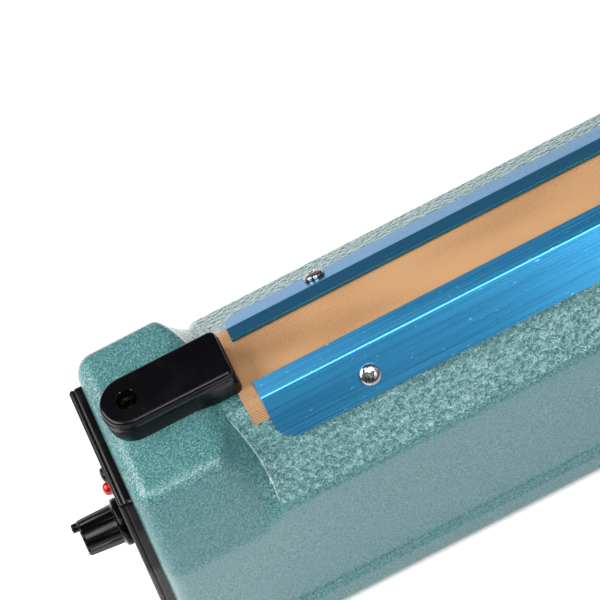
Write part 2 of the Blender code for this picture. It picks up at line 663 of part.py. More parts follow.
def make_arm():
    axis = bpy.data.objects.new("arm_axis", None)
    bpy.context.scene.collection.objects.link(axis)
    axis.location = put(HINGE_X, 0, HINGE_Z)

    section = [(-ARM_HALF, ARM_BOTTOM), (-5.3, ARM_BOTTOM), (-5.3, 102.2), (5.3, 102.2), (5.3, ARM_BOTTOM)]
    section += [(ARM_HALF, ARM_BOTTOM), (ARM_HALF, ARM_TOP - 3), (ARM_HALF - 3, ARM_TOP)]
    section += [(3 - ARM_HALF, ARM_TOP), (-ARM_HALF, ARM_TOP - 3)]
    beam = extrude_x("arm_beam", section, ARM_START, ARM_END, BLUE, axis)
    cut(beam, block("beam_hollow", (0, -9.8, 104.2), (LENGTH, 9.8, 115.8), None, axis))
    block("silicone_pad", (ARM_START, -4.9, PAD_BOTTOM), (ARM_END, 4.9, 101.9), SILICONE, axis)
    block("arm_end_cap", (ARM_START - 2, -11.6, 99.6), (ARM_START - GAP, 11.6, 117.6), BLACK, axis)

    side_view = rounded(
        (
            (134, ARM_TOP + GAP, 0),
            (ARM_START - 3, ARM_TOP + GAP, 3.0),
            (ARM_START - 7, 112.5, 6.0),
            (0, 112.0, 6.0),
            (-8, 117.0, 4.0),
            (-8, 124.0, 5.0),
            (24, 131.5, 30.0),
            (100, 131.5, 40.0),
            (134, 121.5, 0),
        ),
        segments=3,
    )
    rings = []
    for y, depth in ((-14, 2.5), (-13.3, 0.8), (-11.5, 0), (11.5, 0), (13.3, 0.8), (14, 2.5)):
        rings.append([put(x, y, z) for x, z in shrunk(side_view, depth)])
    handle = loft("handle", rings, BLACK, axis)
    for i, x in enumerate(HANDLE_SCREWS):
        drill(handle, f"handle_counterbore_{i}", (x, 0, 124), (0, 0, 1), 4.2, 20)
        drill(handle, f"handle_bore_{i}", (x, 0, 110), (0, 0, 1), 2.2, 30)
        drill(beam, f"beam_bore_{i}", (x, 0, 110), (0, 0, 1), 2.2, 20)
        pan_head_screw(f"handle_screw_{i + 1}", (x, 0, 124), (0, 0, 1), 3.6, 11, 1.8, STEEL, axis)

    knuckle_side = [(ARM_END - 30, 104.5), (ARM_END + 0.6, 104.5), (ARM_END + 0.6, 109.6)]
    knuckle_side += [(HINGE_X - 9, 109.6)]
    for i in range(9):
        angle = math.radians(215 + (450 - 215) * i / 8)
        x = HINGE_X + KNUCKLE_RADIUS * math.cos(angle)
        knuckle_side.append((x, HINGE_Z + KNUCKLE_RADIUS * math.sin(angle)))
    knuckle_side += [(HINGE_X - 12, 121.0), (ARM_END + 3, 121.0)]
    knuckle_side += [(ARM_END + 0.6, 115.5), (ARM_END - 30, 115.5)]
    knuckle = extrude_y("arm_knuckle", knuckle_side, -KNUCKLE_HALF, KNUCKLE_HALF, BAR, axis)
    drill(knuckle, "knuckle_bore", (HINGE_X, -20, HINGE_Z), (0, 1, 0), PIN_RADIUS + 0.1, 40)
    drill(knuckle, "spring_bore", (HINGE_X - 12, -20, HINGE_Z), (0, 1, 0), 1.0, 40)
    drill(knuckle, "adjuster_bore", (SWITCH_X, 0, 100), (0, 0, 1), 2.1, 30)
    drill(beam, "bolt_hole", (BOLT_X, -20, 110), (0, 1, 0), 2.1, 40)
    drill(knuckle, "knuckle_bolt_hole", (BOLT_X, -20, 110), (0, 1, 0), 2.1, 40)
    bolt = ((-1.0, 3.6), (1.3, 3.6), (1.3, 1.8), (25.9, 1.8), (25.9, 3.4), (28.4, 3.4))
    turned("arm_bolt", (BOLT_X, -ARM_HALF - 1.6, 110), (0, 1, 0), bolt, STEEL, axis, sides=12)
    adjuster = ((PLUNGER_TOP + 0.3, 1.2), (PLUNGER_TOP + 1.0, 1.8), (121.6, 1.8), (121.6, 3.4), (124.0, 3.4))
    turned("switch_adjuster", (SWITCH_X, 0, 0), (0, 0, 1), adjuster, STEEL, axis, sides=12)
    axis.rotation_euler = (0, math.radians(OPEN_DEG), 0)


make_housing()
make_base()
make_control_end()
make_rear_end()
make_jaw()
make_terminal_cover("front_cover", BLOCK_START, BLOCK_END, BLOCK_HOLE_X, True)
make_terminal_cover("rear_cover", REAR_BLOCK_START, REAR_BLOCK_END, REAR_SCREW_X, False)
make_electrics()
make_switch()
make_hinge()
make_return_spring("return_spring", -1)
make_arm()
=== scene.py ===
"""Looks of the hand impulse heat sealer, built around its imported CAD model.

Measures are in millimetres, from the control panel's outer face at the height of the deck, from the middle
plane and from the casting's bottom rim; put() turns them into metres in the model's frame.
Pieces of the arm are drawn shut and then turned to the angle that the model rests at.
"""

import json
import math

import bmesh
import bpy
from mathutils import Matrix, Quaternion, Vector, noise

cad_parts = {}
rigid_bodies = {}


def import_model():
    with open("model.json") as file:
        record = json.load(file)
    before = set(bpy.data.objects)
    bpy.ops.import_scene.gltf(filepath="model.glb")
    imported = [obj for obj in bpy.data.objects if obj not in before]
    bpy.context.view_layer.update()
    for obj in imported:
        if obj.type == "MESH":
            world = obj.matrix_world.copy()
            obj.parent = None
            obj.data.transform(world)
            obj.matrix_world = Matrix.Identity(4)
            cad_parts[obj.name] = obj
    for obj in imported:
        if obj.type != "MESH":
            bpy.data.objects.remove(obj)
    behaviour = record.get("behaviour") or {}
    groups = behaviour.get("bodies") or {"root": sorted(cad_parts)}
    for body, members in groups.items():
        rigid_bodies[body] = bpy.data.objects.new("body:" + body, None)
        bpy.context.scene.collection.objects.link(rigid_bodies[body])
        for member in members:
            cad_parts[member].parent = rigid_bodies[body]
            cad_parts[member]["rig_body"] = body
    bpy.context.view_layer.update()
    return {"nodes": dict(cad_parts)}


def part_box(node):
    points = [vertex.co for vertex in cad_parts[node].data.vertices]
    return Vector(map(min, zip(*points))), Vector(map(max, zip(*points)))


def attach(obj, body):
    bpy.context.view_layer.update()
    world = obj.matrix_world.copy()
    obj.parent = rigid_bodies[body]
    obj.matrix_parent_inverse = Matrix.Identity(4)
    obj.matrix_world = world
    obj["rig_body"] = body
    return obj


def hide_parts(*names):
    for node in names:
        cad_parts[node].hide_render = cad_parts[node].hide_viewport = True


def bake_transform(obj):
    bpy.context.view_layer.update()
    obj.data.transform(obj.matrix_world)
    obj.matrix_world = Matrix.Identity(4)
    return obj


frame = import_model()
for name in ("Cube", "Light", "Camera"):
    if name in bpy.data.objects:
        bpy.data.objects.remove(bpy.data.objects[name])

MM = 0.001
LENGTH = 437.0
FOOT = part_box("housing")[0].z / MM  # height of the casting's rim above the bench
HALF_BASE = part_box("housing")[1].y / MM
GAP = 0.3  # between parts that touch in the real object
RIM_TOP, FLARE_Z, HALF_WAIST = 8.5, 13.0, 44.4
MID_Y, MID_Z = 29.2, 80.37
EDGE_Y, EDGE_Z = 43.4, 69.3
RIDGE_Y, RIDGE_Z = 14.6, 94.3
DECK_SLOPE = (RIDGE_Z - MID_Z) / (MID_Y - RIDGE_Y)
CASTING_WALL = 2.8
HUMP_Y, HUMP_Z, HUMP_SIDE_Z = 32.0, 97.9, 62.0
HUMP_END, HUMP_FOOT = 36.0, 48.0
END_FILLET = 7.0
PANEL_INSET, PANEL_TAPER, PANEL_THICK = 6.3, 0.045, 4.5
PANEL_BOTTOM, PANEL_CORNER = 7.0, 2.4
WINDOW_HALF_Y, WINDOW_HALF_Z, WINDOW_Z = 18.0, 24.5, 45.0  # the hole in each end wall, behind its panel
RAKE = math.tan(math.radians(5.5))  # the end walls lean in towards the top
RAKE_Z = 93.6
STRIP_START = 58.5
STRIP_THICK = 1.2
STRIP_INNER, STRIP_RIDGE, STRIP_OUTER = (9.8, 97.4), (15.8, 95.6), (28.2, 83.8)
STRIP_CORNER = 7.5
STRIP_SCREWS = (95.0, LENGTH / 2, LENGTH - 95.0)
FAR_SCREWS_BACK = 1.6
STRIP_SCREW_DOWN = 9.6
CLOTH_START, CLOTH_THICK, CLOTH_EDGE_Y = 52.6, 0.25, 20.2
BLOCK_START, BLOCK_END, BLOCK_HALF, BLOCK_TOP = 8.2, 55.0, 10.1, 108.9
BLOCK_HOLE_X, BLOCK_CORNER, BLOCK_EDGE = 18.5, 2.6, 1.5
BACK_START, BACK_END, BACK_CORNER = LENGTH - 55.0, LENGTH - 40.5, 2.2  # the rear cover
REAR_SCREW_X = LENGTH - 45.9
COVER_SEAT_Z, COVER_BOTTOM = 100.0, HUMP_Z + 0.15  # where the screws hold, and where a cover meets its hump
STRIP_HEAD, COVER_HEAD, PLATE_HEAD, PANEL_HEAD, GRIP_HEAD = 3.8, 2.9, 2.8, 2.6, 3.6  # screw head radii
KNOB_Z, LED_Z, LED_RADIUS = 40.9, 64.4, 2.42
SCREW_HOLE, KNOB_HOLE, LED_HOLE, GLAND_HOLE = 1.9, 4.0, 2.9, 6.4  # radii in the panels
POINTER = math.radians(52)  # the knob points this far round from the top at rest
PANEL_SCREWS = (73.4, 14.5)
SINK = 1.6  # how deep the lower panel screws are set
GLAND_Z, GLAND_HEIGHT = 30.0, 17.38
HINGE_X, HINGE_Z = LENGTH - 21.0, 113.0
PIN_HALF = 17.3  # half the hinge pin's length
OPEN_DEG = 40.0
GRIP_BORES, GRIP_HALF, GRIP_EDGE, GRIP_SEAT_Z = (78.0, 112.0), 14.0, 3.2, 124.0
PAD_HALF, PAD_BOTTOM, PAD_TOP = 4.9, 96.3, 101.9
ARM_START, ARM_END, ARM_HALF, ARM_BOTTOM, ARM_TOP = 58.5, LENGTH - 57.5, 12.0, 99.2, 118.0
BASE_SCREWS = [(x, y) for x in (26.0, LENGTH - 26.0) for y in (-37.0, 37.0)]
BRACKET_SCREWS = [(LENGTH - 27.5, -8.0), (LENGTH - 27.5, 8.0)]
FEET = [(x, y) for x in (34.0, LENGTH - 34.0) for y in (-26.0, 26.0)]


def put(x, y, z):
    """A point in the casting's own measures, as metres in the model's frame."""
    return Vector(((x - LENGTH / 2) * MM, y * MM, (z + FOOT) * MM))


PIN = put(HINGE_X, 0, HINGE_Z)
OPENING = Matrix.Translation(PIN) @ Matrix.Rotation(math.radians(OPEN_DEG), 4, "Y") @ Matrix.Translation(-PIN)


# -------------------- finishes
def linear(rgb):
    """A screen colour of 0 to 255 as the linear values that a shader takes."""
    scaled = [c / 255 for c in rgb]
    return tuple(c / 12.92 if c <= 0.04045 else ((c + 0.055) / 1.055) ** 2.4 for c in scaled)


class Finish:
    """A Principled material with the textures that drive its colour, roughness and bump."""

    def __init__(self, name, rgb, roughness, metallic=0.0, **sockets):
        self.material = bpy.data.materials.new(name)
        self.material.use_nodes = True
        self.tree = self.material.node_tree
        self.shader = self.tree.nodes["Principled BSDF"]
        self.set("Base Color", (*linear(rgb), 1.0))
        self.set("Roughness", roughness)
        self.set("Metallic", metallic)
        for socket, value in sockets.items():
            self.set(socket.replace("_", " "), value)
        self.place = self.tree.nodes.new("ShaderNodeTexCoord").outputs["Object"]

    def set(self, socket, value):
        self.shader.inputs[socket].default_value = value

    def node(self, kind, inputs, **options):
        """A new node, with its options set and its inputs linked or given a value."""
        made = self.tree.nodes.new(f"ShaderNode{kind}")
        for option, value in options.items():
            setattr(made, option, value)
        for socket, value in inputs.items():
            if hasattr(value, "is_linked"):
                self.tree.links.new(value, made.inputs[socket])
            else:
                made.inputs[socket].default_value = value
        return made

    def along(self, x, y, z, turn=(0, 0, 0)):
        """The place on the piece, stretched: a small number draws the texture out along that axis."""
        inputs = {"Vector": self.place, "Scale": (x, y, z), "Rotation": turn}
        return self.node("Mapping", inputs).outputs["Vector"]

    def noise(self, scale, detail=2.0, distortion=0.0, place=None):
        inputs = {"Vector": place or self.place, "Scale": scale, "Detail": detail, "Distortion": distortion}
        return self.node("TexNoise", inputs).outputs["Fac"]

    def cells(self, scale, place, smooth):
        """Soft edged cells: how far a point is from the middle of its cell."""
        inputs = {"Vector": place, "Scale": scale, "Smoothness": smooth}
        return self.node("TexVoronoi", inputs, feature="SMOOTH_F1").outputs["Distance"]

    def bands(self, pitch, axis):
        """Even bands across an axis, one for each pitch in millimetres."""
        inputs = {"Vector": self.place, "Scale": math.pi / (10 * pitch * MM)}
        return self.node("TexWave", inputs, wave_type="BANDS", bands_direction=axis).outputs["Fac"]

    def add(self, a, b):
        return self.node("Math", {0: a, 1: b}, operation="ADD").outputs[0]

    def times(self, a, b):
        return self.node("Math", {0: a, 1: b}, operation="MULTIPLY").outputs[0]

    def spread(self, value, low, high, from_low=0.0, from_high=1.0):
        """A value's range from_low to from_high, drawn out to low to high and held there."""
        inputs = {"Value": value, "From Min": from_low, "From Max": from_high, "To Min": low, "To Max": high}
        return self.node("MapRange", inputs, clamp=True).outputs[0]

    def colours(self, value, stops):
        """A colour ramp with stops of (place, screen colour)."""
        ramp = self.node("ValToRGB", {"Fac": value})
        band = ramp.color_ramp
        while len(band.elements) < len(stops):
            band.elements.new(0.5)
        for element, (place, rgb) in zip(band.elements, stops):
            element.position = place
            element.color = (*linear(rgb), 1.0)
        return ramp.outputs["Color"]

    def blend(self, share, a, b):
        """Mixes two colours, each a node's output or a screen colour."""
        a, b = (c if hasattr(c, "is_linked") else (*linear(c), 1.0) for c in (a, b))
        return self.node("Mix", {0: share, 6: a, 7: b}, data_type="RGBA").outputs[2]

    def to(self, socket, value):
        self.tree.links.new(value, self.shader.inputs[socket])

    def bump(self, height, distance):
        """Raises the surface by distance in millimetres where height is 1."""
        made = self.node("Bump", {"Height": height, "Distance": distance * MM}).outputs["Normal"]
        self.to("Normal", made)
        return made

    def patterned(self, pattern, stops, depth):
        """The material, with a pattern as its colour and its relief."""
        self.to("Base Color", self.colours(pattern, stops))
        self.bump(pattern, depth)
        return self.material


WARP = 2.2  # how far the enamel's dimples are pulled out of round


def hammertone():
    """Teal hammered enamel: small wavy dimples under a glossy skin.

    The casting's own attributes say where it is a slope, with coarser dimples, and where a painted highlight
    line runs along the crease at each hump's foot.
    """
    made = Finish("hammertone_teal", (92, 156, 156), 0.42, Specular_IOR_Level=0.3,
                  Coat_Weight=0.95, Coat_Roughness=0.06, Coat_IOR=1.42)
    warp = made.noise(520)
    shift = made.node("CombineXYZ", {"X": warp, "Y": warp, "Z": warp}).outputs[0]
    shift = made.node("VectorMath", {0: shift, 1: (WARP * MM,) * 3}, operation="MULTIPLY").outputs[0]
    drawn = made.node("VectorMath", {0: made.place, 1: shift}, operation="ADD").outputs[0]
    fine = made.cells(1300, drawn, 0.6)
    coarse = made.cells(500, drawn, 0.4)
    slope = made.node("Attribute", {}, attribute_name="slope").outputs["Fac"]
    up = made.node("SeparateXYZ", {0: made.node("NewGeometry", {}).outputs["Normal"]}).outputs["Z"]
    mixed = made.node("Mix", {0: slope, 2: fine, 3: coarse}, data_type="FLOAT").outputs[0]
    height = made.add(mixed, made.times(made.noise(800, 1.0, 1.2), 0.35))
    rounded_edge = made.times(made.spread(up, 0, 1, 0.15, 0.5), made.spread(up, 1, 0, 0.8, 0.97))
    deep = made.node("Math", {0: made.times(rounded_edge, 0.3), 1: slope}, operation="MAXIMUM").outputs[0]
    made.to("Coat Normal", made.bump(made.times(height, made.spread(deep, 0.12, 1.0)), 0.56))
    speck = made.add(made.noise(1700, 2.0, 0.3), made.spread(mixed, -0.12, 0.12, 0.0, 0.8))
    tint = made.colours(speck, ((0.28, (34, 78, 78)), (0.50, (60, 110, 110)), (0.74, (104, 148, 150))))
    # Faces that turn away from the top get a darker tint, a painted shade on the sides and underside; faces
    # that look up keep the lighter tint.
    side_shade_tint = made.colours(speck, ((0.25, (10, 64, 70)), (0.75, (68, 128, 132))))
    tint = made.blend(made.spread(up, 0, 1, 0.25, 0.6), side_shade_tint, tint)
    # Where the edge attribute is set, a pale colour is mixed in: a painted highlight along the crease at each
    # hump's foot.
    edge = made.node("Attribute", {}, attribute_name="edge").outputs["Fac"]
    made.to("Base Color", made.blend(edge, tint, (205, 232, 230)))
    made.to("Roughness", made.spread(made.noise(700), 0.36, 0.52, 0.3, 0.7))
    return made.material


def anodised():
    """Blue dyed aluminium, brushed along its length, with a few short scratches."""
    made = Finish("blue_anodised", (44, 142, 192), 0.28, 1.0, Coat_Weight=0.35, Coat_Roughness=0.18)
    made.set("Specular Tint", (0.5, 0.6, 0.72, 1.0))
    lines = made.noise(2600, 3.0, 0.0, made.along(0.006, 1, 1))
    broad = made.noise(200, 2.0, 0.0, made.along(0.01, 1, 1))
    tint = made.colours(made.add(made.times(lines, 0.7), made.times(broad, 0.3)),
                        ((0.3, (42, 122, 168)), (0.5, (48, 130, 176)), (0.7, (60, 144, 188))))
    spots = made.noise(1100, 1.0, 0.0, made.along(0.3, 1.6, 1.6, (0.4, 0.2, 0.5)))
    made.to("Base Color", made.blend(made.spread(spots, 0, 1, 0.75, 0.765), tint, (120, 196, 232)))
    made.to("Roughness", made.spread(lines, 0.26, 0.32, 0.3, 0.7))
    made.bump(lines, 0.0005)
    return made.material


def moulded(name, rgb, roughness, grain, scale):
    """Glossy black moulding: a faint grain, cloudy gloss and small rub marks."""
    made = Finish(name, rgb, roughness, Specular_IOR_Level=0.23)
    cloud = made.noise(90, 3.0, 0.6)
    made.to("Roughness", made.spread(cloud, roughness - 0.06, roughness + 0.14, 0.35, 0.7))
    marks = made.spread(made.noise(1100, 4.0, 1.5), 0, 1, 0.68, 0.76)
    lighter = tuple(c + 16 for c in rgb)
    made.to("Base Color", made.blend(marks, rgb, lighter))
    made.bump(made.noise(scale), grain)
    return made.material


def woven(name, stops, pitch, depth, roughness):
    """A plain weave: two sets of threads that pass over and under each other."""
    made = Finish(name, stops[1][1], roughness, Specular_IOR_Level=0.35)
    warp, weft = made.bands(pitch, "X"), made.bands(pitch, "Y")
    both = made.add(made.add(warp, weft), made.times(made.times(warp, weft), -1))
    thread = made.times(made.noise(1400, 2.0, 0.2), 0.35)
    stain = made.noise(60, 1.0, 0.0, made.along(0.3, 1, 1))
    shade = made.add(made.add(made.times(both, 0.5), made.add(thread, stain)), -0.18)
    made.to("Base Color", made.colours(shade, stops))
    made.bump(both, depth)
    made.to("Roughness", made.spread(made.noise(160), roughness - 0.12, roughness + 0.1))
    return made.material


def bright_metal(name, rgb, roughness, stretch=(1, 1, 1), scale=900, depth=0.006):
    """Plain metal with fine working marks and small stains."""
    made = Finish(name, rgb, roughness, 1.0)
    marks = made.noise(scale, 3.0, 0.2, made.along(*stretch))
    darker = tuple(int(c * 0.78) for c in rgb)
    made.to("Base Color", made.colours(made.noise(130, 3.0, 0.5), ((0.35, darker), (0.6, rgb))))
    made.to("Roughness", made.spread(marks, max(roughness - 0.1, 0.05), roughness + 0.14, 0.3, 0.7))
    made.bump(marks, depth)
    return made.material


def laminated():
    """Stacked core leaves, seen as fine bands."""
    made = Finish("lamination_steel", (96, 98, 104), 0.42, 0.9)
    return made.patterned(made.bands(0.5, "Y"), ((0.1, (46, 46, 50)), (0.6, (118, 120, 126))), 0.05)


def wound():
    """Rows of lacquered wire."""
    made = Finish("lacquered_copper", (150, 74, 30), 0.3, 0.85, Coat_Weight=0.4)
    return made.patterned(made.bands(0.7, "Z"), ((0.1, (74, 30, 12)), (0.7, (176, 92, 42))), 0.12)


def board():
    """Green solder mask with a grid of lighter tracks."""
    made = Finish("circuit_board", (18, 88, 48), 0.4, Coat_Weight=0.4)
    inputs = {"Vector": made.along(1, 1, 1, (0, math.pi / 2, 0)), "Scale": 190, "Mortar Size": 0.05}
    tracks = made.node("TexBrick", inputs).outputs["Fac"]
    made.to("Base Color", made.blend(tracks, (14, 78, 42), (44, 122, 70)))
    made.bump(tracks, 0.04)
    return made.material


def lens():
    """Red epoxy, a little uneven in depth."""
    made = Finish("red_lens", (214, 10, 20), 0.08, Coat_Weight=0.4, Specular_IOR_Level=0.4)
    return made.patterned(made.noise(600, 1.0), ((0.3, (140, 2, 8)), (0.7, (198, 6, 14))), 0.01)


def rubbery(name, rgb, roughness, stretch=(1, 1, 1)):
    """Matt rubber or plastic with a fine dusty speckle."""
    made = Finish(name, rgb, roughness, Sheen_Weight=0.1)
    speck = made.noise(1400, 3.0, 0.2, made.along(*stretch))
    lighter = tuple(min(c + 18, 255) for c in rgb)
    made.to("Base Color", made.colours(speck, ((0.35, rgb), (0.7, lighter))))
    made.to("Roughness", made.spread(speck, roughness - 0.1, roughness + 0.1))
    made.bump(speck, 0.03)
    return made.material


def printed():
    """Slightly worn white ink."""
    made = Finish("white_print", (226, 226, 222), 0.5)
    stops = ((0.3, (198, 198, 194)), (0.6, (232, 232, 228)))
    return made.patterned(made.noise(2400, 3.0), stops, 0.004)


PAINT = hammertone()
BLUE = anodised()
PANEL_BLACK = moulded("panel_black", (10, 9, 11), 0.24, 0.03, 1400)
BLACK = moulded("moulded_black", (7, 7, 10), 0.16, 0.008, 1500)
KNOB_BLACK = moulded("knob_black", (4, 3, 4), 0.22, 0.006, 1600)
GRIP_BLACK = moulded("grip_black", (14, 14, 16), 0.34, 0.05, 1300)
CLOTH_TINTS = ((0.3, (104, 72, 42)), (0.72, (158, 116, 78)), (1.0, (184, 142, 100)))
GLASS_TINTS = ((0.3, (168, 156, 120)), (0.6, (206, 196, 160)), (0.85, (226, 220, 190)))
CLOTH = woven("ptfe_cloth", CLOTH_TINTS, 0.62, 0.08, 0.5)
GLASS = woven("glass_cloth", GLASS_TINTS, 0.8, 0.08, 0.75)
STEEL = bright_metal("screw_steel", (196, 196, 198), 0.2)
PLATE_STEEL = bright_metal("plated_steel", (176, 178, 182), 0.34, (0.1, 1, 1), 1200)
BRASS = bright_metal("brass", (196, 158, 84), 0.24)
BAR = bright_metal("bar_aluminium", (190, 192, 194), 0.36, (0.05, 1, 1), 1500)
ALLOY = bright_metal("resistance_alloy", (168, 162, 156), 0.4, (0.05, 1, 1), 1500)
CAST = bright_metal("cast_aluminium", (172, 174, 176), 0.46, (1, 1, 1), 700, 0.05)
CORE = laminated()
COIL = wound()
BOARD = board()
LENS = lens()
SILICONE = rubbery("silicone", (158, 66, 42), 0.55, (0.4, 1, 1))
RUBBER = rubbery("foot_rubber", (20, 20, 21), 0.72)
PLUNGER = rubbery("plunger_red", (170, 26, 24), 0.4)
PRINT = printed()


# -------------------- shapes
def mesh_object(name, bm, finish, sharp=35.0):
    """Makes an object of a bmesh, with its faces turned out and its round sides smooth."""
    bmesh.ops.recalc_face_normals(bm, faces=bm.faces)
    mesh = bpy.data.meshes.new(name)
    bm.to_mesh(mesh)
    bm.free()
    mesh.shade_smooth()
    mesh.set_sharp_from_angle(angle=math.radians(sharp))
    made = bpy.data.objects.new(name, mesh)
    bpy.context.scene.collection.objects.link(made)
    if finish:
        mesh.materials.append(finish)
    return made


def loft(name, rings, finish, sharp=35.0):
    """Joins rings of points, all with the same count, into a closed skin."""
    bm = bmesh.new()
    made = [[bm.verts.new(p) for p in ring] for ring in rings]
    count = len(rings[0])
    for a, b in zip(made, made[1:]):
        for i in range(count):
            j = (i + 1) % count
            bm.faces.new((a[i], a[j], b[j], b[i]))
    bm.faces.new(made[0])
    bm.faces.new(made[-1])
    return mesh_object(name, bm, finish, sharp)


def about(at, turn, height, radius, angle):
    """A point at a height along the line through at, and a radius and angle about it."""
    local = Vector((radius * math.cos(angle), radius * math.sin(angle), height)) * MM
    return put(*at) + turn @ local


def turned(name, at, direction, profile, finish, sides=48):
    """A turned piece about the line through at: profile holds (height along it, radius)."""
    turn = Vector(direction).to_track_quat("Z", "Y")
    angles = [math.tau * (i + 0.5) / sides for i in range(sides)]
    rings = [[about(at, turn, height, radius, angle) for angle in angles] for height, radius in profile]
    return loft(name, rings, finish)


def fluted(name, at, direction, profile, flutes, width, finish, sides):
    """A turned piece with grooves along it: profile holds (height, radius, groove depth)."""
    turn = Vector(direction).to_track_quat("Z", "Y")
    count = flutes * sides
    rings = []
    for height, radius, deep in profile:
        ring = []
        for i in range(count):
            share = abs((i % sides) / sides - 0.5) / width
            groove = deep * (0.5 + 0.5 * math.cos(math.pi * share)) if share < 1 else 0.0
            ring.append(about(at, turn, height, radius - groove, math.tau * i / count))
        rings.append(ring)
    return loft(name, rings, finish, 32.0)


def prism(name, outline, y0, y1):
    """A side view of (x, z) points drawn across."""
    return loft(name, [[put(x, y, z) for x, z in outline] for y in (y0, y1)], None)


def carve(target, cutter, sharp=35.0, solver="EXACT"):
    """Cuts a closed piece by another, which is then removed."""
    step = target.modifiers.new("carve", "BOOLEAN")
    step.operation = "DIFFERENCE"
    step.object = cutter
    step.solver = solver
    graph = bpy.context.evaluated_depsgraph_get()
    mesh = bpy.data.meshes.new_from_object(target.evaluated_get(graph))
    target.modifiers.clear()
    target.data = mesh
    mesh.set_sharp_from_angle(angle=math.radians(sharp))
    bpy.data.objects.remove(cutter)


def softened(made, width):
    """Rounds the sharp edges of a piece."""
    step = made.modifiers.new("edges", "BEVEL")
    step.width = width * MM
    step.segments = 2
    step.limit_method = "ANGLE"
    step.angle_limit = math.radians(50.0)
    step.harden_normals = True


def rounded(corners, segments=8, lines=1):
    """A polyline whose inner corners (y, z, radius) are arcs, and whose straight parts have lines steps."""
    arcs = [[Vector(corners[0][:2])]]
    for (ay, az, _), (by, bz, radius), (cy, cz, _) in zip(corners, corners[1:], corners[2:]):
        corner = Vector((by, bz))
        before = (Vector((ay, az)) - corner).normalized()
        after = (Vector((cy, cz)) - corner).normalized()
        half = before.angle(after) / 2
        back = radius / math.tan(half)
        centre = corner + (before + after).normalized() * radius / math.sin(half)
        start = corner + before * back - centre
        end = corner + after * back - centre
        steps = range(segments + 1)
        arcs.append([centre + start.slerp(end, i / segments).normalized() * radius for i in steps])
    arcs.append([Vector(corners[-1][:2])])
    points = []
    for arc, following in zip(arcs, arcs[1:]):
        points += arc
        points += [arc[-1].lerp(following[0], i / lines) for i in range(1, lines)]
    return [tuple(p) for p in points + arcs[-1]]


def shrunk(outline, depth):
    """A closed outline drawn in by depth along its points' normals."""
    following = outline[1:] + outline[:1]
    area = sum(ax * by - bx * ay for (ax, ay), (bx, by) in zip(outline, following))
    turn = 1 if area > 0 else -1
    drawn = []
    for last, here, coming in zip(outline[-1:] + outline[:-1], outline, following):
        before = (Vector(here) - Vector(last)).normalized()
        after = (Vector(coming) - Vector(here)).normalized()
        along = (before + after).normalized()
        reach = depth / max(along.dot(after), 0.5)
        drawn.append((here[0] - along.y * reach * turn, here[1] + along.x * reach * turn))
    return drawn


def mirrored(half):
    """The whole outline of a half section that starts on the middle line."""
    return [(-y, z) for y, z in reversed(half[1:])] + half


def closed(half):
    """The whole outline of a half section that starts and ends on the middle line."""
    return half + [(-y, z) for y, z in reversed(half[1:-1])]


def add(made, body, slot, *replaced):
    """Rides a piece on its body and stands it in for CAD nodes. slot is not used."""
    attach(made, body)
    if replaced:
        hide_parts(*replaced)


def opened(made):
    """Turns a piece of the arm from shut to the angle that the model rests at."""
    made.data.transform(OPENING)
    return made


def refined(node, name, finish, slot, bevel, segments=2):
    """A CAD node's own shape with its edges rounded and its faces smooth."""
    source = frame["nodes"][node]
    bm = bmesh.new()
    bm.from_mesh(source.data)
    bmesh.ops.remove_doubles(bm, verts=bm.verts, dist=2e-6)
    bmesh.ops.dissolve_limit(bm, angle_limit=math.radians(1.5), verts=bm.verts, edges=bm.edges)
    edges = [e for e in bm.edges if len(e.link_faces) == 2 and e.calc_face_angle(0) > math.radians(40)]
    bmesh.ops.bevel(bm, geom=edges, offset=bevel * MM, segments=segments, profile=0.5,
                    affect="EDGES", clamp_overlap=True)
    add(mesh_object(name, bm, finish, 32.0), source["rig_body"], slot, node)


# -------------------- the casting
ARC, LINE = 9, 8
RIM = ((45.15, 11.9, 0.5), (45.0, 11.1, 0.3), (HALF_BASE, RIM_TOP, 1.2), (HALF_BASE, 0, 0))


def deck_half():
    """The sloped deck's section: flat ridge, slope, side, beaded and flared rim."""
    corners = ((0, RIDGE_Z, 0), (RIDGE_Y, RIDGE_Z, 2.0), (MID_Y, MID_Z, 45.0), (EDGE_Y, EDGE_Z, 4.0),
               (HALF_WAIST, FLARE_Z, 0.6), *RIM)
    return rounded(corners, ARC, LINE)


def hump_half(inwards=0.0):
    """The end hump's section, drawn in on its top and side, with the deck's count of points."""
    corners = (
        (0, HUMP_Z - inwards, 0),
        (HUMP_Y - inwards * 0.85, HUMP_Z - inwards, 6.0 - inwards * 0.6),
        (38.2 - inwards * 0.8, 81.5 - inwards * 0.5, 30.0),
        (EDGE_Y - inwards, HUMP_SIDE_Z, 18.0),
        (HALF_WAIST - inwards, FLARE_Z, 0.6),
        *((y - inwards, z, r) for y, z, r in RIM),
    )
    return rounded(corners, ARC, LINE)


def lean(x, z):
    """Moves an end point outwards with depth, fading out over the hump."""
    share = min(max((HUMP_FOOT - min(x, LENGTH - x)) / (HUMP_FOOT - PANEL_THICK - GAP), 0.0), 1.0)
    outwards = -1 if x < LENGTH / 2 else 1
    return x + outwards * (RAKE_Z - z) * RAKE * share


def foot_of_hump(z):
    """Where the hump's end meets the deck: a curve that bulges along the slope."""
    share = min(max((RIDGE_Z - z) / (RIDGE_Z - EDGE_Z), 0.0), 1.0)
    return 45.4 + 4.4 * math.sin(math.pi * min(share * 0.72, 1.0)) - 0.9 * share


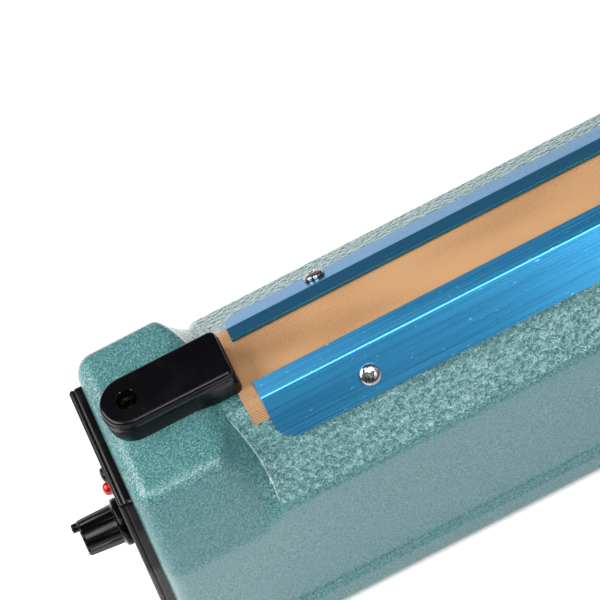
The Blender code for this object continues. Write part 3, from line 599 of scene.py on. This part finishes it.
def front_half_rings():
    """Half sections from the front end to the middle, each with how much painted highlight its crease line
    gets.
    """
    deck, hump = deck_half(), hump_half()
    feet = [foot_of_hump(z) for _, z in deck]
    rings = []
    for i in range(9):
        angle = math.radians(90 * i / 8)
        from_end = END_FILLET * (1 - math.cos(angle))
        inwards = END_FILLET * (1 - math.sin(angle))
        rings.append(([(PANEL_THICK + GAP + from_end, y, z) for y, z in hump_half(inwards)], 0.0))
    for x in (18.0, 24.0, 30.0):
        rings.append(([(x, y, z) for y, z in hump], 0.0))
    for share in [i / 14 for i in range(14)] + [0.975, 1.0]:
        weight = math.cos(share * math.pi / 2) ** 0.95
        ring = []
        for (dy, dz), (hy, hz), foot in zip(deck, hump, feet):
            x = HUMP_END + (foot - HUMP_END) * share
            ring.append((x, dy + (hy - dy) * weight, dz + (hz - dz) * weight))
        # The last ring of the blend is the crease, the one given the painted highlight.
        rings.append((ring, 1.0 if share == 1.0 else 0.0))
    for ahead in (0.12, 1.2, 4.0):
        rings.append(([(foot + ahead, y, z) for (y, z), foot in zip(deck, feet)], 0.0))
    for x in (62, 75, 90, 110, 135, 160, 190, LENGTH / 2):
        rings.append(([(x, y, z) for y, z in deck], 0.0))
    return rings


def end_wall(bm, row, end):
    """The wall at one end of the casting, which runs in to a window that the panel covers."""
    x = LENGTH / 2 + end * (LENGTH / 2 - PANEL_THICK - GAP)
    window = []
    for vert in row:
        y = vert.co.y / MM
        rise = vert.co.z / MM - FOOT - WINDOW_Z
        share = max(abs(y) / WINDOW_HALF_Y, abs(rise) / WINDOW_HALF_Z, 1.0)
        z = WINDOW_Z + rise / share
        window.append(bm.verts.new(put(lean(x, z), y / share, z)))
    for i in range(len(row) - 1):
        bm.faces.new((row[i], row[i + 1], window[i + 1], window[i]))


def make_casting():
    """The cast housing, open underneath: one skin over all its sections, with a wall inside it."""
    front = front_half_rings()
    back = [([(LENGTH - x, y, z) for x, y, z in ring], edge) for ring, edge in front[-2::-1]]
    bm = bmesh.new()
    slope_layer = bm.verts.layers.float.new("slope")
    crease_highlight_layer = bm.verts.layers.float.new("edge")
    rows = []
    for ring, edge in front + back:
        row = []
        for x, y, z in [(x, -y, z) for x, y, z in reversed(ring[1:])] + ring:
            vert = bm.verts.new(put(lean(x, z), y, z))
            on_slope = EDGE_Z + 1 < z < RIDGE_Z + 1 and abs(y) > 8
            past_hump = min(max((min(x, LENGTH - x) - 43.0) / 3.0, 0.0), 1.0)
            vert[slope_layer] = past_hump if on_slope else 0.0
            # The crease where the hump meets the deck slope gets a painted highlight line through the edge
            # attribute.
            vert[crease_highlight_layer] = edge * 0.8 if EDGE_Z + 3 < z < RIDGE_Z - 1.5 else 0.0
            row.append(vert)
        rows.append(row)
    for a, b in zip(rows, rows[1:]):
        for i in range(len(a) - 1):
            bm.faces.new((a[i], a[i + 1], b[i + 1], b[i]))
    end_wall(bm, rows[0], -1)
    end_wall(bm, rows[-1], 1)
    bmesh.ops.remove_doubles(bm, verts=bm.verts, dist=1e-6)
    casting = mesh_object("casting", bm, PAINT, 28.0)
    wall = casting.modifiers.new("wall", "SOLIDIFY")
    wall.thickness = CASTING_WALL * MM
    wall.offset = -1
    add(casting, "base", "housing_paint", "housing")


# -------------------- screws
def cross_cutter(radius, top, depth):
    """A tapered cross for a screw's recess, about the Z axis, in metres."""
    rings = []
    for z, arm, half in ((top + 0.4 * MM, 0.62, 0.125), (top - depth, 0.26, 0.075)):
        a, h = arm * radius, half * radius
        outline = ((a, -h), (a, h), (h, h), (h, a), (-h, a), (-h, h),
                   (-a, h), (-a, -h), (-h, -h), (-h, -a), (h, -a), (h, -h))
        rings.append([Vector((x, y, z)) for x, y in outline])
    return loft("cross", rings, None)


def screw(name, at, direction, head, finish, body, slot, node, lift=GAP, spin=0.3):
    """A pan head screw with a cross recess. at is on the surface that it holds, and head is its radius."""
    tall = head * 0.55
    profile = [(-2.0, head * 0.42), (lift, head * 0.42), (lift, head * 0.97), (lift + 0.08, head)]
    for i in range(9):
        angle = math.radians(90 * i / 9)
        height = lift + tall * (0.34 + 0.66 * math.sin(angle))
        profile.append((height, head * (0.12 + 0.88 * math.cos(angle))))
    profile.append((lift + tall, 0.05))
    angles = [math.tau * i / 40 for i in range(40)]
    rings = []
    for height, radius in profile:
        rings.append([Vector((radius * math.cos(a), radius * math.sin(a), height)) * MM for a in angles])
    made = loft(name, rings, finish, 40.0)
    carve(made, cross_cutter(head * MM, (lift + tall) * MM, tall * 0.62 * MM), 40.0)
    turn = Vector(direction).to_track_quat("Z", "Y") @ Quaternion((0, 0, 1), spin)
    made.data.transform(Matrix.Translation(put(*at)) @ turn.to_matrix().to_4x4())
    if body == "arm":
        opened(made)
    add(made, body, slot, node)


# -------------------- end panels and controls
def panel_out(end):
    """The way that the panel at one end (-1 front, 1 rear) faces."""
    return Vector((end, 0, RAKE)).normalized()


def panel_point(end, z, out=0.0):
    """The point at a height on the middle of a panel's face, moved out from it."""
    x = LENGTH / 2 + end * (LENGTH / 2 + (RAKE_Z - z) * RAKE)
    return Vector((x, 0, z)) + panel_out(end) * out


def make_panel(name, end, node, holes):
    """A moulded cover with a rounded rim and a shallow line inside it. holes holds (height, radius)."""
    top = [(y * (1 - PANEL_TAPER * (z - FLARE_Z) / (HUMP_Z - FLARE_Z)), z) for y, z in hump_half(PANEL_INSET)
           if z > FLARE_Z + 3]
    foot_y = HALF_WAIST - PANEL_INSET
    corners = ((foot_y, 12, 0), (foot_y, PANEL_BOTTOM, PANEL_CORNER), (0, PANEL_BOTTOM, 0))
    outline = mirrored(top + rounded(corners, 5)[1:-1])
    wall = [(PANEL_THICK + GAP - 0.02, 0.0), (2.7, 0.0), (2.4, 0.12), (2.05, 0.46), (1.9, 0.5), (1.8, 0.4),
            (1.5, 0.15), (1.2, 0.16), (0.8, 0.3), (0.4, 0.55), (0.12, 0.9), (0.0, 1.2)]
    line = [(0.0, 1.4), (0.22, 1.55), (0.22, 1.75), (0.0, 1.9)]
    rings = []
    for depth, margin in wall + line:
        ring = [panel_point(end, z, -depth) + Vector((0, y, 0)) for y, z in shrunk(outline, margin)]
        rings.append([put(*point) for point in ring])
    panel = loft(name, rings, PANEL_BLACK, 30.0)
    for i, (z, radius) in enumerate([*holes, *((z, SCREW_HOLE) for z in PANEL_SCREWS)]):
        bore = ((-10, radius), (-0.25, radius), (0.25, radius + 0.5), (8, radius + 0.5))
        if z == PANEL_SCREWS[1]:
            bore = ((-10, radius), (-SINK, radius), (-SINK, 2.9), (-0.2, 2.9), (0.2, 3.3), (8, 3.3))
        cutter = turned(f"bore_{i}", panel_point(end, z), panel_out(end), bore, None, 40)
        carve(panel, cutter, 30.0, "MANIFOLD")
    for face in panel.data.polygons:
        if abs(face.normal.dot(panel_out(end))) > 0.999:
            face.use_smooth = False
    add(panel, "base", "panel_plastic", node)


def make_panel_screws(name, end, finish, slot, node):
    for i, z in enumerate(PANEL_SCREWS):
        screw(f"{name}_{i + 1}", panel_point(end, z), panel_out(end), PANEL_HEAD, finish, "base", slot,
              f"{node}_{i + 1}", 0.05 - SINK * i)


def make_lamp():
    dome = [(-9, 2.4), (0.9, 2.45), (1.0, LED_RADIUS)]
    for degrees in range(15, 90, 12):
        angle = math.radians(degrees)
        dome.append((1.0 + 1.9 * math.sin(angle), LED_RADIUS * math.cos(angle)))
    lamp = turned("signal_lamp", panel_point(-1, LED_Z), panel_out(-1), dome, LENS)
    add(lamp, "base", "red_lens", "led")


def make_knob(up):
    """A fluted knob with a skirt and a dished top, and the peg on it that points to the dial."""
    at, out = panel_point(-1, KNOB_Z), panel_out(-1)
    skirt = [(0.08, 8.5, 0), (0.3, 8.8, 0), (0.5, 8.9, 0), (2.1, 8.9, 0), (2.4, 8.7, 0), (2.7, 7.9, 0),
             (3.0, 7.5, 0), (3.2, 7.3, 0)]
    barrel = [(3.6, 7.28, 0.55), (9.5, 7.0, 0.6), (15.0, 6.75, 0.6), (15.5, 6.72, 0.5), (15.9, 6.6, 0.3)]
    top = [(16.2, 6.35, 0.15), (16.3, 6.0, 0), (16.3, 5.5, 0), (16.0, 5.2, 0), (16.0, 0.4, 0)]
    knob = fluted("knob", at, out, skirt + barrel + top, 12, 0.17, KNOB_BLACK, 18)
    add(knob, "knob", "moulded_black", "timer_knob")
    to_peg = (up * math.cos(POINTER) + Vector((0, 1, 0)) * math.sin(POINTER)) * 4.6
    peg = ((14.3, 1.75), (18.0, 1.7), (18.35, 1.55), (18.55, 1.2), (18.6, 0.4))
    add(turned("knob_pointer", at + to_peg, out, peg, KNOB_BLACK, 28), "knob", "moulded_black")


def make_dial(up):
    """Plain marks round the knob, long at the ends and the middle."""
    start, thick, half_wide, marks = 10.6, 0.05, 0.25, 11
    side = Vector((0, 1, 0))
    bm = bmesh.new()
    for i in range(marks):
        angle = math.radians(-135 + 270 / (marks - 1) * i)
        end = start + (2.6 if i % 5 == 0 else 1.7)
        along = up * math.cos(angle) + side * math.sin(angle)
        across = side * math.cos(angle) - up * math.sin(angle)
        corners = []
        for lift in (0.0, thick):
            for reach, off in ((start, -half_wide), (end, -half_wide), (end, half_wide), (start, half_wide)):
                spot = panel_point(-1, KNOB_Z, lift) + along * reach + across * off
                corners.append(bm.verts.new(put(*spot)))
        bm.faces.new(corners[4:])
        bm.faces.new(corners[:4])
        for a, b in ((0, 1), (1, 2), (2, 3), (3, 0)):
            bm.faces.new((corners[a], corners[b], corners[b + 4], corners[a + 4]))
    add(mesh_object("dial_marks", bm, PRINT), "base", "panel_plastic")


def make_controls():
    make_panel("front_panel", -1, "control_panel", [(KNOB_Z, KNOB_HOLE), (LED_Z, LED_HOLE)])
    make_panel_screws("front_panel_screw", -1, BLACK, "moulded_black", "panel_screw")
    make_lamp()
    up = panel_out(-1).cross(Vector((0, -1, 0))).normalized()
    make_knob(up)
    make_dial(up)
    refined("potentiometer", "timer_pot", PLATE_STEEL, "plated_steel", 0.3)
    refined("timer_shaft", "knob_shaft", STEEL, "plated_steel", 0.2)


def make_rear_end():
    """The rear panel and the gland that the mains cord would pass through."""
    out, at = panel_out(1), panel_point(1, GLAND_Z)
    make_panel("back_panel", 1, "rear_panel", [(GLAND_Z, GLAND_HOLE)])
    make_panel_screws("back_panel_screw", 1, STEEL, "screw_steel", "rear_screw")
    behind = -PANEL_THICK - GAP
    profile = [(-9.0, 7.6, 0), (-8.6, 8.0, 0), (behind, 8.0, 0), (behind, 6.0, 0), (GAP, 6.0, 0)]
    profile += [(GAP, 9.2, 0), (0.7, 9.5, 0), (5.0, 9.5, 0), (5.5, 9.1, 0), (6.0, 8.2, 0), (6.6, 8.2, 0.5)]
    profile += [(GLAND_HEIGHT - 5.4, 8.2, 0.5), (GLAND_HEIGHT - 5, 8.1, 0), (GLAND_HEIGHT - 3, 7.5, 0)]
    profile += [(GLAND_HEIGHT - 1, 6.4, 0), (GLAND_HEIGHT - 0.3, 6.0, 0), (GLAND_HEIGHT, 5.5, 0)]
    gland = fluted("strain_relief", at, out, profile, 16, 0.2, BLACK, 8)
    bore = ((-20, 4.3), (GLAND_HEIGHT - 0.7, 4.3), (GLAND_HEIGHT + 0.3, 5.2), (30, 5.2))
    carve(gland, turned("gland_bore", at, out, bore, None), 32.0)
    add(gland, "base", "moulded_black", "cable_gland")


# -------------------- jaw
def ribbon(line, thick):
    """The outline of a bent strip about its (y, z) middle line."""
    sides = ([], [])
    for i, point in enumerate(line):
        here = Vector(point)
        before = (here - Vector(line[i - 1])).normalized() if i else None
        after = (Vector(line[i + 1]) - here).normalized() if i + 1 < len(line) else None
        before, after = before or after, after or before
        along = (before + after).normalized()
        normal = Vector((-along.y, along.x))
        reach = thick / 2 / max(along.dot(after), 0.3)
        sides[0].append(tuple(here + normal * reach))
        sides[1].append(tuple(here - normal * reach))
    return sides[0] + sides[1][::-1]


def make_clamp_strip(name, side, node):
    """A bent angle with a soft fold, rounded plan corners and worn edges."""
    down = (Vector(STRIP_OUTER) - Vector(STRIP_RIDGE)).normalized()
    inwards = Vector((-down.y, down.x)) * -STRIP_THICK / 2
    stations = [STRIP_CORNER * (1 - math.cos(math.radians(90 * i / 12))) for i in range(13)]
    xs = [STRIP_START + d for d in stations] + [LENGTH / 2]
    xs += [LENGTH - STRIP_START - d for d in reversed(stations)]
    rings = []
    inner, ridge = Vector(STRIP_INNER) + inwards, Vector(STRIP_RIDGE) + inwards * 1.06
    for x in xs:
        from_end = min(x - STRIP_START, LENGTH - STRIP_START - x, STRIP_CORNER)
        short = STRIP_CORNER - math.sqrt(STRIP_CORNER**2 - (STRIP_CORNER - from_end) ** 2)
        edge = Vector(STRIP_OUTER) - down * short
        corners = ((*inner, 0), (*ridge, 1.3), (*(edge + inwards), 0))
        line = rounded(corners, 7, 3)
        rings.append([put(x, side * y, z) for y, z in ribbon(line, STRIP_THICK)])
    strip = loft(name, rings, BLUE, 30.0)
    softened(strip, 0.22)
    add(strip, "base", "blue_anodised", node)


def strip_screw_places():
    """Where the strips' screws sit and the way that each points: three on the near side, then three far."""
    slope = math.atan2(STRIP_RIDGE[1] - STRIP_OUTER[1], STRIP_OUTER[0] - STRIP_RIDGE[0])
    y = STRIP_RIDGE[0] + STRIP_SCREW_DOWN * math.cos(slope)
    z = STRIP_RIDGE[1] - STRIP_SCREW_DOWN * math.sin(slope)
    places = []
    for side, back in ((-1, 0), (1, FAR_SCREWS_BACK)):
        for x in STRIP_SCREWS:
            places.append(((x - back, side * y, z), (0, side * math.sin(slope), math.cos(slope))))
    return places


def make_cloth():
    """The PTFE cover: a thin woven sheet laid over the bar and held under both strips."""
    edge_z = RIDGE_Z + 0.4 - DECK_SLOPE * (CLOTH_EDGE_Y - RIDGE_Y)
    corners = ((0, 95.8, 0), (9.4, 95.8, 0.7), (14.7, 94.58, 1.2), (CLOTH_EDGE_Y, edge_z, 0))
    line = mirrored(rounded(corners, 4, 4))
    outline = ribbon(line, CLOTH_THICK)
    last = LENGTH - CLOTH_START
    xs = [CLOTH_START + d for d in (0, 0.4, 1, 2, 3.5, 5.5, 8, 12, 20, 40, 80, 120)]
    xs += [LENGTH / 2] + [LENGTH - x for x in reversed(xs)]
    rings = []
    for x in xs:
        free = max(0.0, 1 - min(x - CLOTH_START, last - x) / 6.0)
        ring = []
        for y, z in outline:
            ripple = 0.16 * free * noise.noise(Vector((x * 0.25, y * 0.35, 3.0)))
            skew = 0.25 * free * noise.noise(Vector((y * 0.12, 7.0, 1.0 if x < LENGTH / 2 else 2.0)))
            ring.append(put(x + skew, y, z + ripple + 0.03 * free))
        rings.append(ring)
    cloth = loft("release_cloth", rings, CLOTH, 50.0)
    add(cloth, "base", "ptfe_cloth", "ptfe_cloth")


def make_cover(name, outline, under, screw_x, node):
    """A moulded cover with a stepped line under its rounded top. under is the side view that is cut away."""
    lip = 0.36
    steps = [(96.3, 0.0), (105.0, 0.0), (105.3, 0.08), (105.5, 0.3), (105.65, 0.5), (105.9, 0.55),
             (106.1, 0.4), (106.6, lip)]
    for degrees in range(0, 91, 15):
        angle = math.radians(degrees)
        height = BLOCK_TOP - BLOCK_EDGE * (1 - math.sin(angle))
        steps.append((height, lip + BLOCK_EDGE * (1 - math.cos(angle))))
    rings = [[put(x, y, z) for x, y in shrunk(outline, margin)] for z, margin in steps]
    cover = loft(name, rings, BLACK, 28.0)
    carve(cover, prism("under", under, -20, 20), 28.0)
    bore = ((-10, 3.55), (8.4, 3.55), (8.65, 3.62), (9.0, 4.0), (13, 4.2))
    carve(cover, turned("bore", (screw_x, 0, COVER_SEAT_Z), (0, 0, 1), bore, None), 28.0)
    add(cover, "base", "moulded_black", node)


def make_front_cover():
    """Round at the panel's end, and stepped down from the hump to the bar."""
    middle_x, rear_x = BLOCK_START + BLOCK_HALF, 46.5
    outline = rounded(((middle_x, -BLOCK_HALF, 0), (BLOCK_END, -BLOCK_HALF, BLOCK_CORNER),
                       (BLOCK_END, BLOCK_HALF, BLOCK_CORNER), (middle_x, BLOCK_HALF, 0)), 5, 4)
    for i in range(1, 24):
        angle = math.radians(90 + 180 * i / 24)
        outline.append((BLOCK_START + BLOCK_HALF * (1 + math.cos(angle)), BLOCK_HALF * math.sin(angle)))
    under = ((0, 90), (0, COVER_BOTTOM), (HUMP_END, COVER_BOTTOM), (rear_x, 96.0), (rear_x, 90))
    make_cover("wire_cover_front", outline, under, BLOCK_HOLE_X, "front_cover")


def make_rear_cover():
    """Short and square, so that it clears the arm."""
    half, hump_x = BLOCK_HALF, BACK_START + 6.5
    start = (BACK_START + 5, -half, 0)
    square = ((BACK_END, -half), (BACK_END, half), (BACK_START, half), (BACK_START, -half))
    outline = rounded((start, *((x, y, BACK_CORNER) for x, y in square), start), 4, 3)[:-1]
    under = ((LENGTH, 90), (LENGTH, COVER_BOTTOM), (hump_x, COVER_BOTTOM), (hump_x, 90))
    make_cover("wire_cover_rear", outline, under, REAR_SCREW_X, "rear_cover")


def make_jaw():
    make_cloth()
    make_clamp_strip("clamp_near", -1, "clamp_strip_near")
    make_clamp_strip("clamp_far", 1, "clamp_strip_far")
    for i, (at, out) in enumerate(strip_screw_places()):
        screw(f"clamp_screw_{i + 1}", at, out, STRIP_HEAD, STEEL, "base", "screw_steel",
              f"strip_screw_{i + 1}", 0.15, 0.5 + 0.7 * i)
    make_front_cover()
    make_rear_cover()
    for which, x in (("front", BLOCK_HOLE_X), ("rear", REAR_SCREW_X)):
        screw(f"wire_screw_{which}", (x, 0, COVER_SEAT_Z), (0, 0, 1), COVER_HEAD, BRASS, "base", "brass",
              f"{which}_cover_screw")
        refined(f"{which}_plate", f"contact_{which}", BRASS, "brass", 0.2)
    refined("sealing_bar", "jaw_bar", BAR, "bar_aluminium", 0.3)
    refined("insulating_strip", "glass_strip", GLASS, "glass_cloth", 0.05, 1)
    refined("heating_element", "seal_wire", ALLOY, "resistance_alloy", 0.05, 1)


# -------------------- underside and inside
def make_underside():
    refined("base_plate", "bottom_plate", PLATE_STEEL, "plated_steel", 0.25)
    for i, (x, y) in enumerate(BASE_SCREWS):
        screw(f"bottom_screw_{i + 1}", (x, y, 1.4), (0, 0, -1), PLATE_HEAD, STEEL, "base", "screw_steel",
              f"base_screw_{i + 1}", 0.1, 0.4 * i)
    foot = ((-FOOT, 5.4), (-FOOT + 0.12, 6.0), (-FOOT + 0.5, 6.45), (-FOOT + 1.1, 6.75), (-0.6, 7.4),
            (0.0, 7.5), (0.9, 7.5), (1.1, 7.3))
    dimple = ((-1, 2.6), (1.6, 2.2), (1.9, 1.8))
    for i, (x, y) in enumerate(FEET):
        rubber = turned(f"foot_{i + 1}", (x, y, 0), (0, 0, 1), foot, RUBBER)
        carve(rubber, turned("dimple", (x, y, -FOOT), (0, 0, 1), dimple, None, 32))
        add(rubber, "base", "foot_rubber", f"rubber_foot_{i + 1}")


def make_inside():
    refined("transformer_core", "core", CORE, "lamination_steel", 0.3)
    refined("transformer_coil", "coil", COIL, "coil_wire", 1.2, 3)
    refined("transformer_strap", "core_strap", PLATE_STEEL, "plated_steel", 0.3)
    refined("timer_board", "board", BOARD, "circuit_board", 0.15, 1)
    refined("timer_relay", "relay", BLACK, "moulded_black", 0.4)
    refined("microswitch", "limit_switch", BLACK, "moulded_black", 0.3)
    refined("switch_plunger", "switch_button", PLUNGER, "plunger_plastic", 0.2)


# -------------------- hinge and arm
def make_hinge():
    refined("hinge_bracket", "bracket", PLATE_STEEL, "plated_steel", 0.3)
    for i, (x, y) in enumerate(BRACKET_SCREWS):
        screw(f"bracket_fixing_{i + 1}", (x, y, 100.2), (0, 0, 1), PLATE_HEAD, STEEL, "base", "screw_steel",
              f"bracket_screw_{i + 1}", 0.1, 0.9 * i)
    tip = ((0, 2.1), (0.15, 2.6), (0.5, 2.9), (0.9, 3.0))
    profile = [*tip, *((2 * PIN_HALF - height, radius) for height, radius in reversed(tip))]
    pin = turned("pivot", (HINGE_X, -PIN_HALF, HINGE_Z), (0, 1, 0), profile, STEEL)
    add(pin, "base", "plated_steel", "hinge_pin")


def make_spring():
    """The torsion spring, drawn with the arm at rest: its lower leg runs to the bracket and its upper leg
    lies along the arm.
    """
    wire, coil_radius, turns, steps = 0.45, 4.7, 3.0, 110
    outer_y, inner_y = -12.9, -10.2
    start = math.radians(210)
    sweep = math.tau * turns + math.radians(180 - OPEN_DEG) - start
    line = [Vector((HINGE_X - 9.0, outer_y, 100.9))]
    for i in range(steps + 1):
        angle = start + sweep * i / steps
        y = outer_y + (inner_y - outer_y) * i / steps
        out = Vector((math.cos(angle), 0, math.sin(angle))) * coil_radius
        line.append(Vector((HINGE_X, y, HINGE_Z)) + out)
    back = math.radians(OPEN_DEG)
    for distance, y in ((8.0, inner_y), (11.4, inner_y), (12.0, -9.6), (12.0, -6.8)):
        line.append(Vector((HINGE_X - distance * math.cos(back), y, HINGE_Z + distance * math.sin(back))))
    angles = [math.tau * k / 12 for k in range(12)]
    side = Vector((0, 1, 0))
    rings = []
    for i, here in enumerate(line):
        along = (line[min(i + 1, len(line) - 1)] - line[max(i - 1, 0)]).normalized()
        side = (side - along * side.dot(along)).normalized()
        other = along.cross(side)
        rings.append([put(*(here + (side * math.cos(a) + other * math.sin(a)) * wire)) for a in angles])
    spring = loft("torsion_spring", rings, STEEL)
    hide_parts("return_spring")
    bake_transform(spring)


def bar_rings(outline, margins):
    """Sections along the arm: margins holds (distance from an end, how far the section is drawn in there)."""
    stations = [(ARM_START + d, m) for d, m in margins] + [(ARM_END - d, m) for d, m in reversed(margins)]
    return [[put(x, y, z) for y, z in shrunk(outline, margin)] for x, margin in stations]


def make_beam():
    """The arm's channel, with a slot along its underside for the pad."""
    slot_half, slot_top = 5.3, 102.2
    half = rounded(((0, slot_top, 0), (slot_half, slot_top, 0.3), (slot_half, ARM_BOTTOM, 0.3),
                    (ARM_HALF, ARM_BOTTOM, 1.0), (ARM_HALF, ARM_TOP, 3.0), (0, ARM_TOP, 0)), 6, 2)
    outline = half[1:-1] + [(-y, z) for y, z in reversed(half[1:-1])]
    beam = loft("arm_channel", bar_rings(outline, ((0, 0.35), (0.12, 0.1), (0.4, 0))), BLUE, 28.0)
    hollow = closed(rounded(((0, 104.2, 0), (9.8, 104.2, 1), (9.8, 115.8, 1), (0, 115.8, 0)), 4))
    carve(beam, loft("hollow", [[put(x, y, z) for y, z in hollow] for x in (0, LENGTH)], None), 28.0)
    add(opened(beam), "arm", "blue_anodised", "arm_beam")


def make_pad():
    outline = closed(rounded(((0, PAD_BOTTOM, 0), (PAD_HALF, PAD_BOTTOM, 1.6), (PAD_HALF, PAD_TOP, 0.3),
                              (0, PAD_TOP, 0)), 5))
    pad = loft("pressure_pad", bar_rings(outline, ((0, 0.3), (0.1, 0.1), (0.4, 0))), SILICONE, 28.0)
    add(opened(pad), "arm", "silicone", "silicone_pad")


def make_grip():
    """The handle: a side view drawn across with rounded edges, and two wells for its screws."""
    tip_z, palm_z = 117.0, 131.5
    side_view = rounded(
        ((134, ARM_TOP + GAP, 0), (ARM_START - 3, ARM_TOP + GAP, 3.0), (ARM_START - 7, 112.5, 6.0),
         (0, 112.0, 6.0), (-8, tip_z, 4.0), (-8, tip_z + 7, 5.0), (24, palm_z, 30.0), (100, palm_z, 40.0),
         (134, palm_z - 10, 0)), 8, 4)
    rings = []
    for i in range(-8, 9):
        angle = math.radians(90 * abs(i) / 8)
        y = math.copysign(GRIP_HALF - GRIP_EDGE * (1 - math.sin(angle)), i)
        depth = GRIP_EDGE * (1 - math.cos(angle)) * 0.8
        rings.append([put(x, y, z) for x, z in shrunk(side_view, depth)])
    grip = loft("grip", rings, GRIP_BLACK, 40.0)
    well = ((-30, 2.2), (0, 2.2), (0, 4.2), (5, 4.2), (8, 4.8), (14, 5.2))
    for i, x in enumerate(GRIP_BORES):
        seat = (x, 0, GRIP_SEAT_Z)
        carve(grip, turned(f"grip_bore_{i}", seat, (0, 0, 1), well, None), 40.0)
        screw(f"grip_screw_{i + 1}", seat, (0, 0, 1), GRIP_HEAD, STEEL, "arm", "screw_steel",
              f"handle_screw_{i + 1}", GAP, 0.8 * i)
    add(opened(grip), "arm", "moulded_black", "handle")


def make_arm():
    make_beam()
    make_pad()
    refined("arm_end_cap", "channel_cap", BLACK, "moulded_black", 0.8, 3)
    make_grip()
    refined("arm_knuckle", "knuckle", CAST, "bar_aluminium", 0.6, 3)
    refined("arm_bolt", "cross_bolt", STEEL, "screw_steel", 0.25)
    refined("switch_adjuster", "adjusting_screw", STEEL, "screw_steel", 0.2)


# -------------------- stage
def aimed(data, target, out, distance, roll=0.0):
    """Sets a camera or a lamp at a distance in metres from a point, facing it."""
    made = bpy.data.objects.new(data.name, data)
    bpy.context.scene.collection.objects.link(made)
    made.location = target + out * distance
    made.rotation_mode = "QUATERNION"
    made.rotation_quaternion = (-out).to_track_quat("-Z", "Y") @ Quaternion((0, 0, 1), roll)
    return made


def make_camera():
    """A long lens at the control end, from above and rolled."""
    camera = bpy.data.cameras.new("camera")
    camera.lens = 180.0
    camera.clip_end = 30.0
    height = math.radians(56)
    out = Vector((0, -math.cos(height), math.sin(height)))
    bpy.context.scene.camera = aimed(camera, Vector((-0.1331, 0, 0.1183)), out, 1.0, math.radians(-27.1))


def soft_light(name, direction, distance, size, watts):
    """A rectangular soft light that faces the jaw."""
    lamp = bpy.data.lights.new(name, "AREA")
    lamp.shape = "RECTANGLE"
    lamp.size, lamp.size_y = size
    lamp.energy = watts
    aimed(lamp, Vector((-0.1, 0, 0.08)), Vector(direction).normalized(), distance)


def make_stage():
    """A pale floor, soft lights and a dim white surrounding."""
    bm = bmesh.new()
    bmesh.ops.create_grid(bm, x_segments=1, y_segments=1, size=6.0)
    floor = mesh_object("floor", bm, None)
    pale = Finish("pale_floor", (250, 250, 250), 0.9, Emission_Strength=0.1)
    pale.set("Emission Color", (1.0, 1.0, 1.0, 1.0))
    floor.data.materials.append(pale.material)
    soft_light("key_light", (0.10, -0.47, 0.88), 1.3, (0.90, 0.55), 13.0)
    soft_light("left_light", (-0.72, 0.12, 0.62), 1.1, (1.0, 0.7), 16.0)
    soft_light("overhead_light", (-0.2, -0.02, 1.0), 1.6, (0.6, 0.5), 2.0)
    soft_light("front_fill", (0.30, -0.85, 0.55), 1.5, (1.8, 0.5), 0.2)
    soft_light("glint_light", (0.295, -0.776, 0.557), 1.4, (0.2, 0.42), 3.0)
    soft_light("back_fill", (0.0, 0.93, 0.36), 1.5, (1.8, 0.45), 1.0)
    soft_light("right_fill", (0.8, -0.2, 0.5), 1.4, (1.2, 0.8), 1.0)
    world = bpy.data.worlds.new("studio")
    world.use_nodes = True
    background = world.node_tree.nodes["Background"].inputs
    background["Color"].default_value = (1.0, 1.0, 1.0, 1.0)
    background["Strength"].default_value = 0.06
    bpy.context.scene.world = world
    bpy.context.scene.view_settings.view_transform = "Standard"


make_casting()
make_controls()
make_rear_end()
make_jaw()
make_underside()
make_inside()
make_hinge()
make_spring()
make_arm()
make_camera()
make_stage()

bpy.context.view_layer.update()
